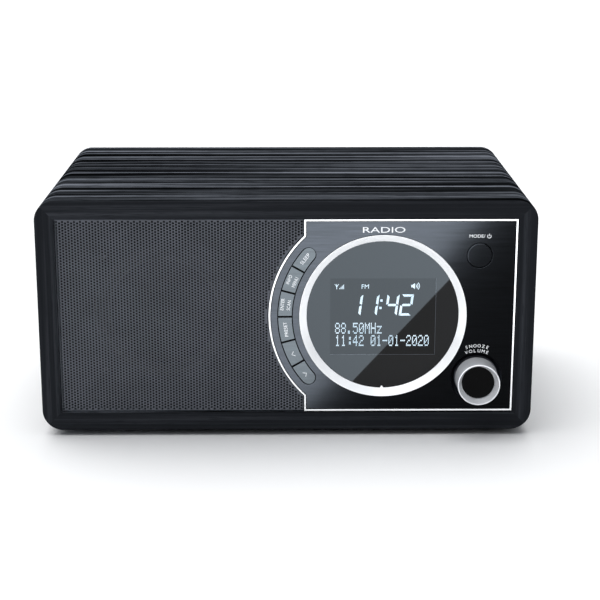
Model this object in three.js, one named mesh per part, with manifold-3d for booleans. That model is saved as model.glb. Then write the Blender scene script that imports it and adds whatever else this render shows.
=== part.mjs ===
// Tabletop digital radio: a wrapped wooden cabinet with one full-range speaker behind a perforated grille,
// a metal fascia with a round display, an arc of keys, a mode button and a push-turn volume knob,
// and a telescopic aerial folded along the back.
// Millimetres. +X is the listener's right, +Y runs from the front to the back, +Z is up.
// The pieces are laid out from the cabinet: x = 0 is its middle, y = 0 its front edge, z = 0 its underside.
// The exported group moves them so that the origin is on the floor, under the middle of the whole radio.
import * as THREE from "three";
import { mergeVertices } from "three/addons/utils/BufferGeometryUtils.js";
import Module from "manifold-3d";

const wasm = await Module();
wasm.setup();

// ---- Driving dimensions ----

// fits
const seatGap = 0.3; // between two fixed pieces that meet
const runGap = 0.25; // around a piece that turns or slides in another
const pressGap = 0.25; // around a key or button in the fascia

// cabinet
const cabinetWidth = 261;
const cabinetHeight = 125.3;
const cabinetDepth = 164.4;
const cabinetWall = 10;
const cabinetCorner = 11;
const insideCorner = 0.8;
const footHeight = 3;
const footRadius = 8;
const footInsetX = 34;
const footInsetY = 30;

// screws
const screwHeadRadius = 3;
const screwHeadHeight = 1.8;
const screwShankRadius = 1.5;
const screwLength = 10;

// baffle: the board behind the grille and the fascia that carries everything at the front
const baffleFront = 6;
const baffleThickness = 6;

// speaker
const speakerFlange = 78;
const speakerFlangeThickness = 2;
const speakerConeRadius = 28.8;
const speakerConeDepth = 15;
const speakerConeWall = 0.6;
const speakerTravel = 1.5;
const speakerScrewInset = 7.5;
const surroundWidth = 4.8;
const surroundWall = 0.6;
const surroundLip = 2.4;
const coilRadius = 10.4;
const coilWall = 0.5;
const coilLength = 16;
const coilGap = 0.8;
const magnetRadius = speakerConeRadius - 3.8;
const magnetDepth = 15;
const basketWall = 1.4;

// grille
const grilleFront = 2;
const grilleSheet = 0.8;

// fascia and its trim line
const fasciaWidth = 111;
const fasciaFront = 1.2;
const fasciaThickness = 2.2;
const fasciaRim = 1.6;
const trimFront = 1;
const trimWidth = 1.2;

// display
const ringFromFasciaLeft = 41.43;
const ringOuterRadius = 44.03;
const ringWidth = 3.86;
const ringInnerRadius = ringOuterRadius - ringWidth;
const ringProud = 0.65; // front edge ahead of the fascia
const ringDepth = 3.45;
const windowThickness = 1.5;
const windowRadius = ringOuterRadius - 0.63;
const lcdWidth = 60;
const lcdHeight = 46;
const lcdThickness = 4;

// keys
const keyNames = ["key_sleep", "key_menu", "key_enter", "key_preset", "key_up", "key_down"];
const keyInnerRadius = ringOuterRadius + 3.72;
const keyWidth = 7.55;
const keyOuterRadius = keyInnerRadius + keyWidth;
const bulgeRadius = keyOuterRadius + 4.9; // the part of the fascia that swells round the keys
const keyFirstAngle = 135;
const keyPitch = 15;
const keySplit = 0.45;
const keyThickness = 2.2;
const stemRadius = 1.5;

// mode button
const modeFromRight = 19.5;
const modeFromTop = 19.4;
const modeRadius = 6.4;

// volume knob and its encoder
const knobFromRight = 19.5;
const knobFromBottom = 18.6;
const knobRadius = 11.15;
const knobProud = 13.2; // front rim ahead of the fascia
const knobBackGap = 1; // between the skirt and the dish, more than the knob is pressed
const knobWall = 1.6;
const knobFaceRadius = knobRadius - 2.25;
const knobFaceDepth = 4;
const knobWeb = 2;
const knobPress = 0.5;
const capThickness = 1;
const dishRadius = knobRadius + 2.45;
const dishDepth = 1.2;
const shaftRadius = 3;
const shaftSocket = 6;
const encoderSize = 12;
const encoderDepth = 6.4;
const bushRadius = 4.4;
const bushLength = 4.4;
const plungerThickness = 0.7;

// boards and switches
const boardThickness = 1.6;
const controlBoardGap = 4; // behind the baffle
const switchSize = 6;
const switchBody = 3.2;
const switchActuator = 0.5;
const switchActuatorRadius = 1.7;
const stemToSwitch = 0.6;
const mainBoardLength = 136;
const mainBoardDepth = 58;
const mainBoardLift = 10; // above the cabinet's floor
const tunerWidth = 32;
const tunerDepth = 24;
const tunerHeight = 4;

// rear cover and sockets
const coverThickness = 3;
const coverInset = 3; // outer face inside the cabinet's back edge
const blockSize = 14;
const blockDepth = 14;
const ventCount = 9;
const ventWidth = 3;
const ventHeight = 26;
const ventPitch = 7;
const powerNose = 4.4;
const powerBore = 3.2;
const powerPin = 0.9;
const audioNose = 3.2;
const audioBore = 1.8;
const noseThrough = 0.6; // how far a socket's nose stays inside the cover's outer face

// aerial
const aerialFromTop = 11.3;
const aerialClearance = 1.4; // between the folded rod and the cabinet's back edge
const aerialRadii = [3, 2.3, 1.65];
const aerialBores = [2.5, 1.85, 1.2];
const aerialTipRadius = 0.95;
const aerialTipHead = 2.7;
const aerialTubeLength = 168;
const aerialStep = 2; // each section ends this much beyond the one around it
const aerialBaseRadius = 7.5;
const aerialPinRadius = 1.25;
const aerialEar = 1.9;

// ---- Derived places ----

const openHalf = cabinetWidth / 2 - cabinetWall;
const openBottom = cabinetWall;
const openTop = cabinetHeight - cabinetWall;
const middleZ = cabinetHeight / 2;

const fasciaRight = openHalf - seatGap;
const fasciaLeft = fasciaRight - fasciaWidth;
const fasciaTop = openTop - seatGap;
const fasciaBottom = openBottom + seatGap;
const fasciaBack = fasciaFront + fasciaThickness;
const ringX = fasciaLeft + ringFromFasciaLeft;
const ringZ = middleZ;

const baffleBack = baffleFront + baffleThickness;
const controlBoardFront = baffleBack + controlBoardGap;
const controlBoardBack = controlBoardFront + boardThickness;

const speakerX = (-openHalf + ringX - bulgeRadius) / 2;
const speakerZ = middleZ;
const flangeFront = baffleBack + seatGap;
const flangeBack = flangeFront + speakerFlangeThickness;
const surroundOuter = speakerConeRadius + seatGap + surroundWidth;
const baffleSpeakerHole = surroundOuter + surroundLip + seatGap;

const modeX = fasciaRight - modeFromRight;
const modeZ = fasciaTop - modeFromTop;
const knobX = fasciaRight - knobFromRight;
const knobZ = fasciaBottom + knobFromBottom;
const knobFront = fasciaFront - knobProud;

const coverBack = cabinetDepth - coverInset;
const coverFront = coverBack - coverThickness;

const aerialX = openHalf - blockSize - aerialBaseRadius;
const aerialZ = openTop - aerialFromTop;
const aerialY = cabinetDepth + aerialClearance + aerialRadii[0];

// ---- Materials ----

function finish(color, roughness, metalness) {
  return new THREE.MeshStandardMaterial({ color, roughness, metalness });
}

const finishes = {
  wrap: finish(0x2b2c2f, 0.55, 0),
  rubber: finish(0x161616, 0.9, 0),
  board: finish(0x1b1b1c, 0.8, 0),
  grille: finish(0x3c3f44, 0.45, 0.6),
  fascia: finish(0x2c2d30, 0.35, 0.8),
  silver: finish(0xe6e7e9, 0.25, 0.9),
  window: finish(0x15171a, 0.06, 0),
  display: finish(0x0c0e12, 0.2, 0),
  key: finish(0x2c2d30, 0.35, 0.8),
  gloss: finish(0x08090a, 0.08, 0),
  paper: finish(0x17181a, 0.85, 0),
  steel: finish(0x9a9ca0, 0.35, 1),
  ferrite: finish(0x2a2a2c, 0.7, 0.2),
  circuit: finish(0x14532d, 0.5, 0),
  plastic: finish(0x101112, 0.5, 0),
  tin: finish(0xb9bcc0, 0.3, 1),
  ribbon: finish(0xc9c9c4, 0.6, 0),
  chrome: finish(0xd8dadd, 0.12, 1),
};

// ---- Solids ----

function solidOf(geometry) {
  const bare = geometry.index ? geometry.toNonIndexed() : geometry.clone();
  bare.deleteAttribute("normal");
  bare.deleteAttribute("uv");
  const merged = mergeVertices(bare, 1e-4);
  const corners = merged.index.array;
  const kept = [];
  for (let i = 0; i < corners.length; i += 3) {
    const [a, b, c] = corners.slice(i, i + 3);
    if (a !== b && b !== c && c !== a) kept.push(a, b, c);
  }
  const vertProperties = merged.attributes.position.array;
  const triVerts = new Uint32Array(kept);
  return new wasm.Manifold(new wasm.Mesh({ numProp: 3, vertProperties, triVerts }));
}

function geometryOf(solid) {
  const mesh = solid.getMesh();
  const geometry = new THREE.BufferGeometry();
  geometry.setAttribute("position", new THREE.BufferAttribute(mesh.vertProperties, 3));
  geometry.setIndex(new THREE.BufferAttribute(mesh.triVerts, 1));
  geometry.computeVertexNormals();
  return geometry;
}

function join(...pieces) {
  return geometryOf(pieces.map(solidOf).reduce((whole, piece) => whole.add(piece)));
}

function cut(piece, ...tools) {
  return geometryOf(tools.map(solidOf).reduce((left, tool) => left.subtract(tool), solidOf(piece)));
}

// A box from its limits.
function block(xMin, xMax, yMin, yMax, zMin, zMax) {
  const box = new THREE.BoxGeometry(xMax - xMin, yMax - yMin, zMax - zMin);
  return box.translate((xMin + xMax) / 2, (yMin + yMax) / 2, (zMin + zMax) / 2);
}

// A round bar along Y.
function bar(x, z, radius, yMin, yMax, sides = 24) {
  const cylinder = new THREE.CylinderGeometry(radius, radius, yMax - yMin, sides);
  return cylinder.translate(x, (yMin + yMax) / 2, z);
}

// The tool that cuts a round hole right through a plate.
function hole(x, z, radius, yFront, yBack, sides) {
  return bar(x, z, radius, yFront - 1, yBack + 1, sides);
}

// A flat outline in X and Z, made solid between two depths in Y. Each arc gets twice curveSegments sides.
function slab(shape, yFront, yBack, curveSegments = 3) {
  const depth = yBack - yFront;
  const geometry = new THREE.ExtrudeGeometry(shape, { depth, bevelEnabled: false, curveSegments });
  return geometry.rotateX(Math.PI / 2).translate(0, yBack, 0);
}

// A profile of [radius, y] points turned about an axis along Y.
function turned(profile, x, z, segments = 36) {
  const points = profile.map(([radius, y]) => new THREE.Vector2(radius, y));
  if (THREE.ShapeUtils.area(points) < 0) points.reverse();
  const onAxis = points[0].x === 0 && points.at(-1).x === 0;
  if (!onAxis) points.push(points[0].clone());
  return new THREE.LatheGeometry(points, segments).translate(x, 0, z);
}

function roundedRect(xMin, xMax, zMin, zMax, radius, Kind = THREE.Shape) {
  const outline = new Kind();
  outline.moveTo(xMin + radius, zMin);
  outline.absarc(xMax - radius, zMin + radius, radius, -Math.PI / 2, 0);
  outline.absarc(xMax - radius, zMax - radius, radius, 0, Math.PI / 2);
  outline.absarc(xMin + radius, zMax - radius, radius, Math.PI / 2, Math.PI);
  outline.absarc(xMin + radius, zMin + radius, radius, Math.PI, Math.PI * 1.5);
  return outline;
}

function radians(degrees) {
  return (degrees * Math.PI) / 180;
}

function around(x, z, radius, angle) {
  return [x + radius * Math.cos(angle), z + radius * Math.sin(angle)];
}

// A pan-head screw with its head towards the back.
function screw(x, z, yUnderHead) {
  const yHead = yUnderHead + screwHeadHeight;
  const yTip = yUnderHead - screwLength;
  const profile = [
    [0, yHead],
    [screwHeadRadius * 0.7, yHead],
    [screwHeadRadius, yUnderHead + screwHeadHeight * 0.4],
    [screwHeadRadius, yUnderHead],
    [screwShankRadius, yUnderHead],
    [screwShankRadius, yTip + screwShankRadius],
    [0, yTip],
  ];
  return turned(profile, x, z, 10);
}

function screwHole(x, z, yUnderHead) {
  const yTip = yUnderHead - screwLength - seatGap;
  return bar(x, z, screwShankRadius + seatGap, yTip, yUnderHead + seatGap, 10);
}

const radio = new THREE.Group();

function add(name, geometry, material) {
  const mesh = new THREE.Mesh(geometry, material);
  mesh.name = name;
  radio.add(mesh);
}

// ---- Outlines shared by the fascia, its trim and the grille ----

// The fascia's edge, drawn in by an inset: a rectangle whose left side swells round the keys.
function fasciaOutline(inset, Kind = THREE.Shape) {
  const left = fasciaLeft + inset;
  const radius = bulgeRadius - inset;
  const meets = Math.acos((left - ringX) / radius);
  const outline = new Kind();
  outline.moveTo(left, fasciaBottom + inset);
  outline.lineTo(fasciaRight - inset, fasciaBottom + inset);
  outline.lineTo(fasciaRight - inset, fasciaTop - inset);
  outline.lineTo(left, fasciaTop - inset);
  outline.absarc(ringX, ringZ, radius, meets, 2 * Math.PI - meets);
  outline.closePath();
  return outline;
}

// The grille's edge: what is left of the opening beside the fascia.
function grilleOutline(inset, Kind = THREE.Shape) {
  const left = -openHalf + seatGap + inset;
  const right = fasciaLeft - seatGap - inset;
  const radius = bulgeRadius + seatGap + inset;
  const meets = Math.acos((right - ringX) / radius);
  const outline = new Kind();
  outline.moveTo(left, fasciaBottom + inset);
  outline.lineTo(right, fasciaBottom + inset);
  outline.absarc(ringX, ringZ, radius, 2 * Math.PI - meets, meets, true);
  outline.lineTo(right, fasciaTop - inset);
  outline.lineTo(left, fasciaTop - inset);
  outline.closePath();
  return outline;
}

// A band round the ring from one angle to another, with either end square or fully rounded.
function bandOutline(inner, outer, from, to, roundFrom, roundTo, halfSplit, Kind = THREE.Shape) {
  const middle = (inner + outer) / 2;
  const cap = (outer - inner) / 2;
  const start = roundFrom ? from + cap / middle : from;
  const end = roundTo ? to - cap / middle : to;
  const trim = (radius, round) => (round ? 0 : halfSplit / radius);
  const outline = new Kind();
  outline.absarc(ringX, ringZ, outer, start + trim(outer, roundFrom), end - trim(outer, roundTo));
  if (roundTo) {
    outline.absarc(...around(ringX, ringZ, middle, end), cap, end, end + Math.PI);
  }
  outline.absarc(ringX, ringZ, inner, end - trim(inner, roundTo), start + trim(inner, roundFrom), true);
  if (roundFrom) {
    outline.absarc(...around(ringX, ringZ, middle, start), cap, start + Math.PI, start + 2 * Math.PI);
  }
  outline.closePath();
  return outline;
}

const keyArcFrom = radians(keyFirstAngle);
const keyArcTo = radians(keyFirstAngle + keyPitch * keyNames.length);
const keyMiddleRadius = (keyInnerRadius + keyOuterRadius) / 2;
const stemEnd = controlBoardFront - switchBody - switchActuator - stemToSwitch;

function keyMiddleAngle(index) {
  return radians(keyFirstAngle + keyPitch * (index + 0.5));
}

// ---- Cabinet ----

const screwFromEdge = blockSize / 2 + seatGap;
const coverScrews = [
  [-openHalf + screwFromEdge, openBottom + screwFromEdge],
  [openHalf - screwFromEdge, openBottom + screwFromEdge],
  [-openHalf + screwFromEdge, openTop - screwFromEdge],
  [openHalf - screwFromEdge, openTop - screwFromEdge],
];

function cabinetShell() {
  const outline = roundedRect(-cabinetWidth / 2, cabinetWidth / 2, 0, cabinetHeight, cabinetCorner);
  outline.holes.push(roundedRect(-openHalf, openHalf, openBottom, openTop, insideCorner, THREE.Path));
  const tube = slab(outline, 0, cabinetDepth, 4);
  const blockBack = coverFront - seatGap;
  const overlap = 1; // how far a screw block runs into the wall it is glued to
  const blocks = coverScrews.map(([x, z]) => {
    const right = x > 0;
    const top = z > middleZ;
    return block(
      right ? openHalf - blockSize : -openHalf - overlap,
      right ? openHalf + overlap : -openHalf + blockSize,
      blockBack - blockDepth,
      blockBack,
      top ? openTop - blockSize : openBottom - overlap,
      top ? openTop + overlap : openBottom + blockSize,
    );
  });
  const holes = coverScrews.map(([x, z]) => screwHole(x, z, coverBack + seatGap));
  return cut(join(tube, ...blocks), ...holes);
}

add("cabinet_shell", cabinetShell(), finishes.wrap);

function foot(x, y) {
  const top = -seatGap;
  const bottom = -footHeight;
  const points = [
    [0, bottom],
    [footRadius - 0.8, bottom],
    [footRadius, bottom + 0.8],
    [footRadius, top],
    [0, top],
  ].map(([radius, height]) => new THREE.Vector2(radius, height));
  return new THREE.LatheGeometry(points, 16).rotateX(Math.PI / 2).translate(x, y, 0);
}

const footPlaces = {
  foot_front_left: [-1, footInsetY],
  foot_front_right: [1, footInsetY],
  foot_rear_left: [-1, cabinetDepth - footInsetY],
  foot_rear_right: [1, cabinetDepth - footInsetY],
};
for (const [name, [side, y]] of Object.entries(footPlaces)) {
  add(name, foot(side * (cabinetWidth / 2 - footInsetX), y), finishes.rubber);
}

// ---- Baffle ----

const flangeScrewOffset = speakerFlange / 2 - speakerScrewInset;
const speakerScrews = [
  [speakerX - flangeScrewOffset, speakerZ - flangeScrewOffset],
  [speakerX + flangeScrewOffset, speakerZ - flangeScrewOffset],
  [speakerX - flangeScrewOffset, speakerZ + flangeScrewOffset],
  [speakerX + flangeScrewOffset, speakerZ + flangeScrewOffset],
];

const controlBoard = {
  left: ringX - keyOuterRadius - 2,
  right: openHalf - 3,
  bottom: openBottom + 4,
  top: openTop - 4,
};

function frontBaffle() {
  const left = -openHalf + seatGap;
  const right = openHalf - seatGap;
  const outline = roundedRect(left, right, openBottom + seatGap, openTop - seatGap, insideCorner);
  const slot = stemRadius + 3; // room for a key's stem as the key tips
  outline.holes.push(
    roundedRect(
      ringX - lcdWidth / 2 - seatGap,
      ringX + lcdWidth / 2 + seatGap,
      ringZ - lcdHeight / 2 - seatGap,
      ringZ + lcdHeight / 2 + seatGap,
      1,
      THREE.Path,
    ),
    bandOutline(
      keyMiddleRadius - slot,
      keyMiddleRadius + slot,
      keyArcFrom,
      keyArcTo,
      true,
      true,
      0,
      THREE.Path,
    ),
  );
  const plate = slab(outline, baffleFront, baffleBack, 4);
  const overlap = 0.5; // how far a post runs into the plate
  const posts = [];
  for (const x of [controlBoard.left + 5, controlBoard.right - 5]) {
    for (const z of [controlBoard.bottom + 3.5, controlBoard.top - 3.5]) {
      posts.push(bar(x, z, 3, baffleBack - overlap, controlBoardFront - seatGap, 16));
    }
  }
  const holes = speakerScrews.map(([x, z]) => screwHole(x, z, flangeBack + seatGap));
  holes.push(
    hole(speakerX, speakerZ, baffleSpeakerHole, baffleFront, baffleBack, 32),
    hole(modeX, modeZ, slot, baffleFront, baffleBack, 16),
    hole(knobX, knobZ, encoderSize / 2 + 3, baffleFront, baffleBack, 24),
  );
  return cut(join(plate, ...posts), ...holes);
}

add("front_baffle", frontBaffle(), finishes.board);

// ---- Speaker ----

const coneFront = flangeFront + 0.3;
const coneNeck = coneFront + speakerConeDepth;
const gapStart = coneNeck + 8;
const basketBack = gapStart - seatGap;

function speakerBasket() {
  const half = speakerFlange / 2;
  const mouth = surroundOuter;
  const flange = roundedRect(speakerX - half, speakerX + half, speakerZ - half, speakerZ + half, 5);
  const body = turned(
    [
      [mouth - 0.2, flangeFront + 0.4],
      [mouth + basketWall, flangeFront + 0.4],
      [mouth + basketWall, flangeBack + 3],
      [magnetRadius - 2, basketBack - 2],
      [magnetRadius - 2, basketBack],
      [coilRadius + coilGap + 1, basketBack],
      [coilRadius + coilGap + 1, basketBack - basketWall],
      [magnetRadius - 2 - basketWall, basketBack - basketWall],
      [magnetRadius - 2 - basketWall, basketBack - 2],
      [mouth - 0.2, flangeBack + 3],
    ],
    speakerX,
    speakerZ,
    28,
  );
  const windowHalf = 9;
  const windowFrom = flangeBack + 4;
  const windowTo = basketBack - 3.5;
  const reach = mouth + 5;
  const clear = coilRadius + coilGap + 3;
  const windows = [0, 1, 2, 3].map((turn) => {
    const tool = block(clear, reach, windowFrom, windowTo, -windowHalf, windowHalf);
    return tool.rotateY((turn * Math.PI) / 2).translate(speakerX, 0, speakerZ);
  });
  const screwHoles = speakerScrews.map(([x, z]) => screwHole(x, z, flangeBack + seatGap));
  const mouthHole = hole(speakerX, speakerZ, mouth, flangeFront, flangeBack, 28);
  const frame = cut(slab(flange, flangeFront, flangeBack), mouthHole);
  return cut(join(frame, body), ...windows, ...screwHoles);
}

// A half-roll of rubber between the cone and the frame, with a flat lip on the frame.
function speakerSurround() {
  const inner = speakerConeRadius + seatGap;
  const rollRadius = surroundWidth / 2;
  const centre = inner + rollRadius;
  const y = flangeFront - seatGap;
  const steps = 6;
  const outside = [];
  const inside = [];
  for (let i = 0; i <= steps; i++) {
    const angle = (i * Math.PI) / steps;
    outside.push([centre - rollRadius * Math.cos(angle), y - rollRadius * Math.sin(angle)]);
    const thin = rollRadius - surroundWall;
    inside.push([centre - thin * Math.cos(angle), y - thin * Math.sin(angle)]);
  }
  const lipOuter = surroundOuter + surroundLip - seatGap;
  const lip = [
    [lipOuter, y - surroundWall],
    [lipOuter, y],
  ];
  outside.pop();
  outside.push([surroundOuter, y - surroundWall]);
  return turned([...outside, ...lip, ...inside.reverse()], speakerX, speakerZ, 28);
}

function speakerCone() {
  const wall = speakerConeWall;
  const neck = coilRadius + wall;
  return turned(
    [
      [speakerConeRadius, coneFront],
      [speakerConeRadius, coneFront + wall],
      [neck, coneNeck + wall],
      [coilRadius, coneNeck + wall],
      [coilRadius, coneNeck + coilLength],
      [coilRadius - coilWall, coneNeck + coilLength],
      [coilRadius - coilWall, coneNeck],
      [coilRadius, coneNeck],
    ],
    speakerX,
    speakerZ,
    28,
  );
}

// The dome that closes the middle of the cone.
function dustCap() {
  const radius = coilRadius + 0.6;
  const rise = 4.5;
  const wall = 0.5;
  const slope = speakerConeDepth / (speakerConeRadius - coilRadius);
  const rim = coneNeck - slope * (radius + wall - coilRadius) - seatGap - wall;
  const steps = 4;
  const front = [];
  const back = [];
  for (let i = 0; i <= steps; i++) {
    const angle = (i * Math.PI) / 2 / steps;
    front.push([i === steps ? 0 : radius * Math.cos(angle), rim - rise * Math.sin(angle)]);
    back.push([i === steps ? 0 : (radius - wall) * Math.cos(angle), rim + wall - rise * Math.sin(angle)]);
  }
  return turned([...back.reverse(), ...front], speakerX, speakerZ, 20);
}

// Pole, ring magnet and plates, with the ring-shaped gap that the voice coil moves in.
function speakerMagnet() {
  const back = gapStart + magnetDepth;
  const poleRadius = coilRadius - coilWall - coilGap;
  const gapOuter = coilRadius + coilGap;
  const gapEnd = coneNeck + coilLength + speakerTravel + 1.5;
  return turned(
    [
      [0, gapStart],
      [poleRadius, gapStart],
      [poleRadius, gapEnd],
      [gapOuter, gapEnd],
      [gapOuter, gapStart],
      [magnetRadius - 3, gapStart],
      [magnetRadius - 3, gapStart + 3],
      [magnetRadius, gapStart + 3],
      [magnetRadius, back - 3],
      [magnetRadius - 3, back - 3],
      [magnetRadius - 3, back],
      [0, back],
    ],
    speakerX,
    speakerZ,
    28,
  );
}

add("speaker_basket", speakerBasket(), finishes.steel);
add("speaker_surround", speakerSurround(), finishes.rubber);
add("speaker_cone", speakerCone(), finishes.paper);
add("dust_cap", dustCap(), finishes.paper);
add("speaker_magnet", speakerMagnet(), finishes.ferrite);
speakerScrews.forEach(([x, z], index) => {
  add("speaker_screw_" + (index + 1), screw(x, z, flangeBack + seatGap), finishes.steel);
});

// A shallow pan: the flat sheet with its edge folded back to the baffle.
function speakerGrille() {
  const rim = grilleOutline(0);
  rim.holes.push(grilleOutline(grilleSheet, THREE.Path));
  const sheet = slab(grilleOutline(0), grilleFront, grilleFront + grilleSheet, 12);
  return join(sheet, slab(rim, grilleFront, baffleFront - seatGap, 12));
}

add("speaker_grille", speakerGrille(), finishes.grille);

// ---- Fascia and display ----

function fasciaPlate() {
  const edge = trimWidth + seatGap;
  const outline = fasciaOutline(edge);
  const inner = keyInnerRadius - pressGap;
  const outer = keyOuterRadius + pressGap;
  outline.holes.push(bandOutline(inner, outer, keyArcFrom, keyArcTo, true, true, 0, THREE.Path));
  const rim = fasciaOutline(edge);
  rim.holes.push(fasciaOutline(edge + fasciaRim, THREE.Path));
  const plate = slab(outline, fasciaFront, fasciaBack, 12);
  const wall = slab(rim, fasciaFront, baffleFront - seatGap, 12);
  return cut(
    join(plate, wall),
    hole(ringX, ringZ, ringOuterRadius + seatGap, fasciaFront, fasciaBack, 60),
    hole(modeX, modeZ, modeRadius + pressGap * 2, fasciaFront, fasciaBack, 28),
    hole(knobX, knobZ, bushRadius + seatGap, fasciaFront, fasciaBack, 24),
    bar(knobX, knobZ, dishRadius, fasciaFront - 1, fasciaFront + dishDepth, 36),
  );
}

add("fascia_plate", fasciaPlate(), finishes.fascia);

function fasciaTrim() {
  const outline = fasciaOutline(0);
  outline.holes.push(fasciaOutline(trimWidth, THREE.Path));
  return slab(outline, trimFront, baffleFront - seatGap, 12);
}

add("fascia_trim", fasciaTrim(), finishes.silver);

const ringFront = fasciaFront - ringProud;
const ringBack = ringFront + ringDepth;
const windowFront = ringBack + seatGap;
const windowBack = windowFront + windowThickness;
const ringLip = 0.2; // height of the ring's inner edge

const ringGeometry = turned(
  [
    [ringOuterRadius, ringFront],
    [ringOuterRadius, ringBack],
    [ringInnerRadius, ringBack],
    [ringInnerRadius, ringBack - ringLip],
  ],
  ringX,
  ringZ,
  60,
);
add("display_ring", ringGeometry, finishes.silver);
add("display_window", bar(ringX, ringZ, windowRadius, windowFront, windowBack, 36), finishes.window);

function lcdModule() {
  const halfWidth = lcdWidth / 2;
  const halfHeight = lcdHeight / 2;
  const front = windowBack + seatGap;
  const glass = block(
    ringX - halfWidth,
    ringX + halfWidth,
    front,
    front + lcdThickness,
    ringZ - halfHeight,
    ringZ + halfHeight,
  );
  const tailHalf = 9;
  const tail = block(
    ringX - tailHalf,
    ringX + tailHalf,
    front + lcdThickness - 0.5,
    controlBoardFront - seatGap,
    ringZ - 4,
    ringZ - 1,
  );
  return join(glass, tail);
}

add("lcd_module", lcdModule(), finishes.display);

// ---- Keys and mode button ----

function key(index) {
  const from = radians(keyFirstAngle + keyPitch * index);
  const to = from + radians(keyPitch);
  const first = index === 0;
  const last = index === keyNames.length - 1;
  const outline = bandOutline(keyInnerRadius, keyOuterRadius, from, to, first, last, keySplit / 2);
  const cap = slab(outline, fasciaFront, fasciaFront + keyThickness, 4);
  const [x, z] = around(ringX, ringZ, keyMiddleRadius, keyMiddleAngle(index));
  return join(cap, bar(x, z, stemRadius, fasciaFront + 1, stemEnd, 12));
}

keyNames.forEach((name, index) => add(name, key(index), finishes.key));

function modeButton() {
  const cap = bar(modeX, modeZ, modeRadius, fasciaFront, fasciaFront + keyThickness, 28);
  return join(cap, bar(modeX, modeZ, stemRadius, fasciaFront + 1, stemEnd, 12));
}

add("mode_button", modeButton(), finishes.key);

// ---- Boards and switches ----

function switchUnder(x, z) {
  const half = switchSize / 2;
  const back = controlBoardFront - seatGap;
  const front = controlBoardFront - switchBody;
  const body = block(x - half, x + half, front, back, z - half, z + half);
  return join(body, bar(x, z, switchActuatorRadius, front - switchActuator, front + 0.5, 12));
}

const switchPlaces = keyNames.map((_, index) => around(ringX, ringZ, keyMiddleRadius, keyMiddleAngle(index)));
switchPlaces.push([modeX, modeZ]);
switchPlaces.forEach(([x, z], index) => {
  add("tact_switch_" + (index + 1), switchUnder(x, z), finishes.plastic);
});

function controlBoardPlate() {
  const { left, right, bottom, top } = controlBoard;
  return slab(roundedRect(left, right, bottom, top, 2), controlBoardFront, controlBoardBack);
}

add("control_board", controlBoardPlate(), finishes.circuit);

// ---- Volume knob and encoder ----

const knobFace = knobFront + knobFaceDepth;
const shaftFront = knobFace + capThickness + seatGap + knobWeb + seatGap;
const encoderBack = controlBoardFront - seatGap;
const encoderFront = encoderBack - encoderDepth;
const shaftEnd = encoderBack - knobPress - plungerThickness - 1.5;

function knobBody() {
  const back = fasciaFront + dishDepth - knobBackGap;
  const web = knobFace + capThickness + seatGap;
  const bore = shaftRadius + 0.1;
  const hub = shaftRadius + 1.8;
  const hubBack = shaftFront + shaftSocket;
  const round = 0.5;
  return turned(
    [
      [0, web],
      [knobFaceRadius, web],
      [knobFaceRadius, knobFace],
      [knobRadius - 0.4, knobFront],
      [knobRadius - 0.1, knobFront + 0.1],
      [knobRadius, knobFront + round],
      [knobRadius, back],
      [knobRadius - knobWall, back],
      [knobRadius - knobWall, web + knobWeb],
      [hub, web + knobWeb],
      [hub, hubBack],
      [bore, hubBack],
      [bore, web + knobWeb],
      [0, web + knobWeb],
    ],
    knobX,
    knobZ,
    32,
  );
}

add("volume_knob", knobBody(), finishes.silver);
const capBack = knobFace + capThickness;
add("knob_cap", bar(knobX, knobZ, knobFaceRadius - seatGap, knobFace, capBack, 32), finishes.gloss);
add("encoder_shaft", bar(knobX, knobZ, shaftRadius, shaftFront, shaftEnd, 24), finishes.steel);

function encoderBody() {
  const half = encoderSize / 2;
  const bore = shaftRadius + runGap;
  const housing = block(knobX - half, knobX + half, encoderFront, encoderBack, knobZ - half, knobZ + half);
  const bush = bar(knobX, knobZ, bushRadius, encoderFront - bushLength, encoderFront + 1, 24);
  const hollow = bar(knobX, knobZ, bore, encoderFront - bushLength - 1, encoderBack - 1, 24);
  return cut(join(housing, bush), hollow);
}

add("encoder_body", encoderBody(), finishes.steel);
const plungerFront = shaftEnd + seatGap;
const plungerBack = plungerFront + plungerThickness;
add("encoder_plunger", bar(knobX, knobZ, shaftRadius, plungerFront, plungerBack, 24), finishes.plastic);

// ---- Main board with its sockets and cables ----

const mainBoard = {
  right: openHalf - blockSize - 4,
  back: coverFront - 4,
  bottom: openBottom + mainBoardLift,
};
mainBoard.left = mainBoard.right - mainBoardLength;
mainBoard.front = mainBoard.back - mainBoardDepth;
mainBoard.top = mainBoard.bottom + boardThickness;
const mainBoardGeometry = block(
  mainBoard.left,
  mainBoard.right,
  mainBoard.front,
  mainBoard.back,
  mainBoard.bottom,
  mainBoard.top,
);
add("main_board", mainBoardGeometry, finishes.circuit);

const tunerX = mainBoard.left + 30;
const tunerY = mainBoard.front + mainBoardDepth * 0.45;
const tunerGeometry = block(
  tunerX - tunerWidth / 2,
  tunerX + tunerWidth / 2,
  tunerY - tunerDepth / 2,
  tunerY + tunerDepth / 2,
  mainBoard.top + seatGap,
  mainBoard.top + seatGap + tunerHeight,
);
add("tuner_module", tunerGeometry, finishes.tin);

const noseBack = coverBack - noseThrough;
const sockets = [
  { name: "dc_jack", x: mainBoard.right - 10, nose: powerNose, bore: powerBore, pin: powerPin, depth: 14 },
  { name: "headphone_jack", x: mainBoard.right - 38, nose: audioNose, bore: audioBore, pin: 0, depth: 13 },
  { name: "aux_jack", x: mainBoard.right - 60, nose: audioNose, bore: audioBore, pin: 0, depth: 13 },
];

function socketHeight(socket) {
  return mainBoard.top + seatGap + socket.nose + 1;
}

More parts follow.
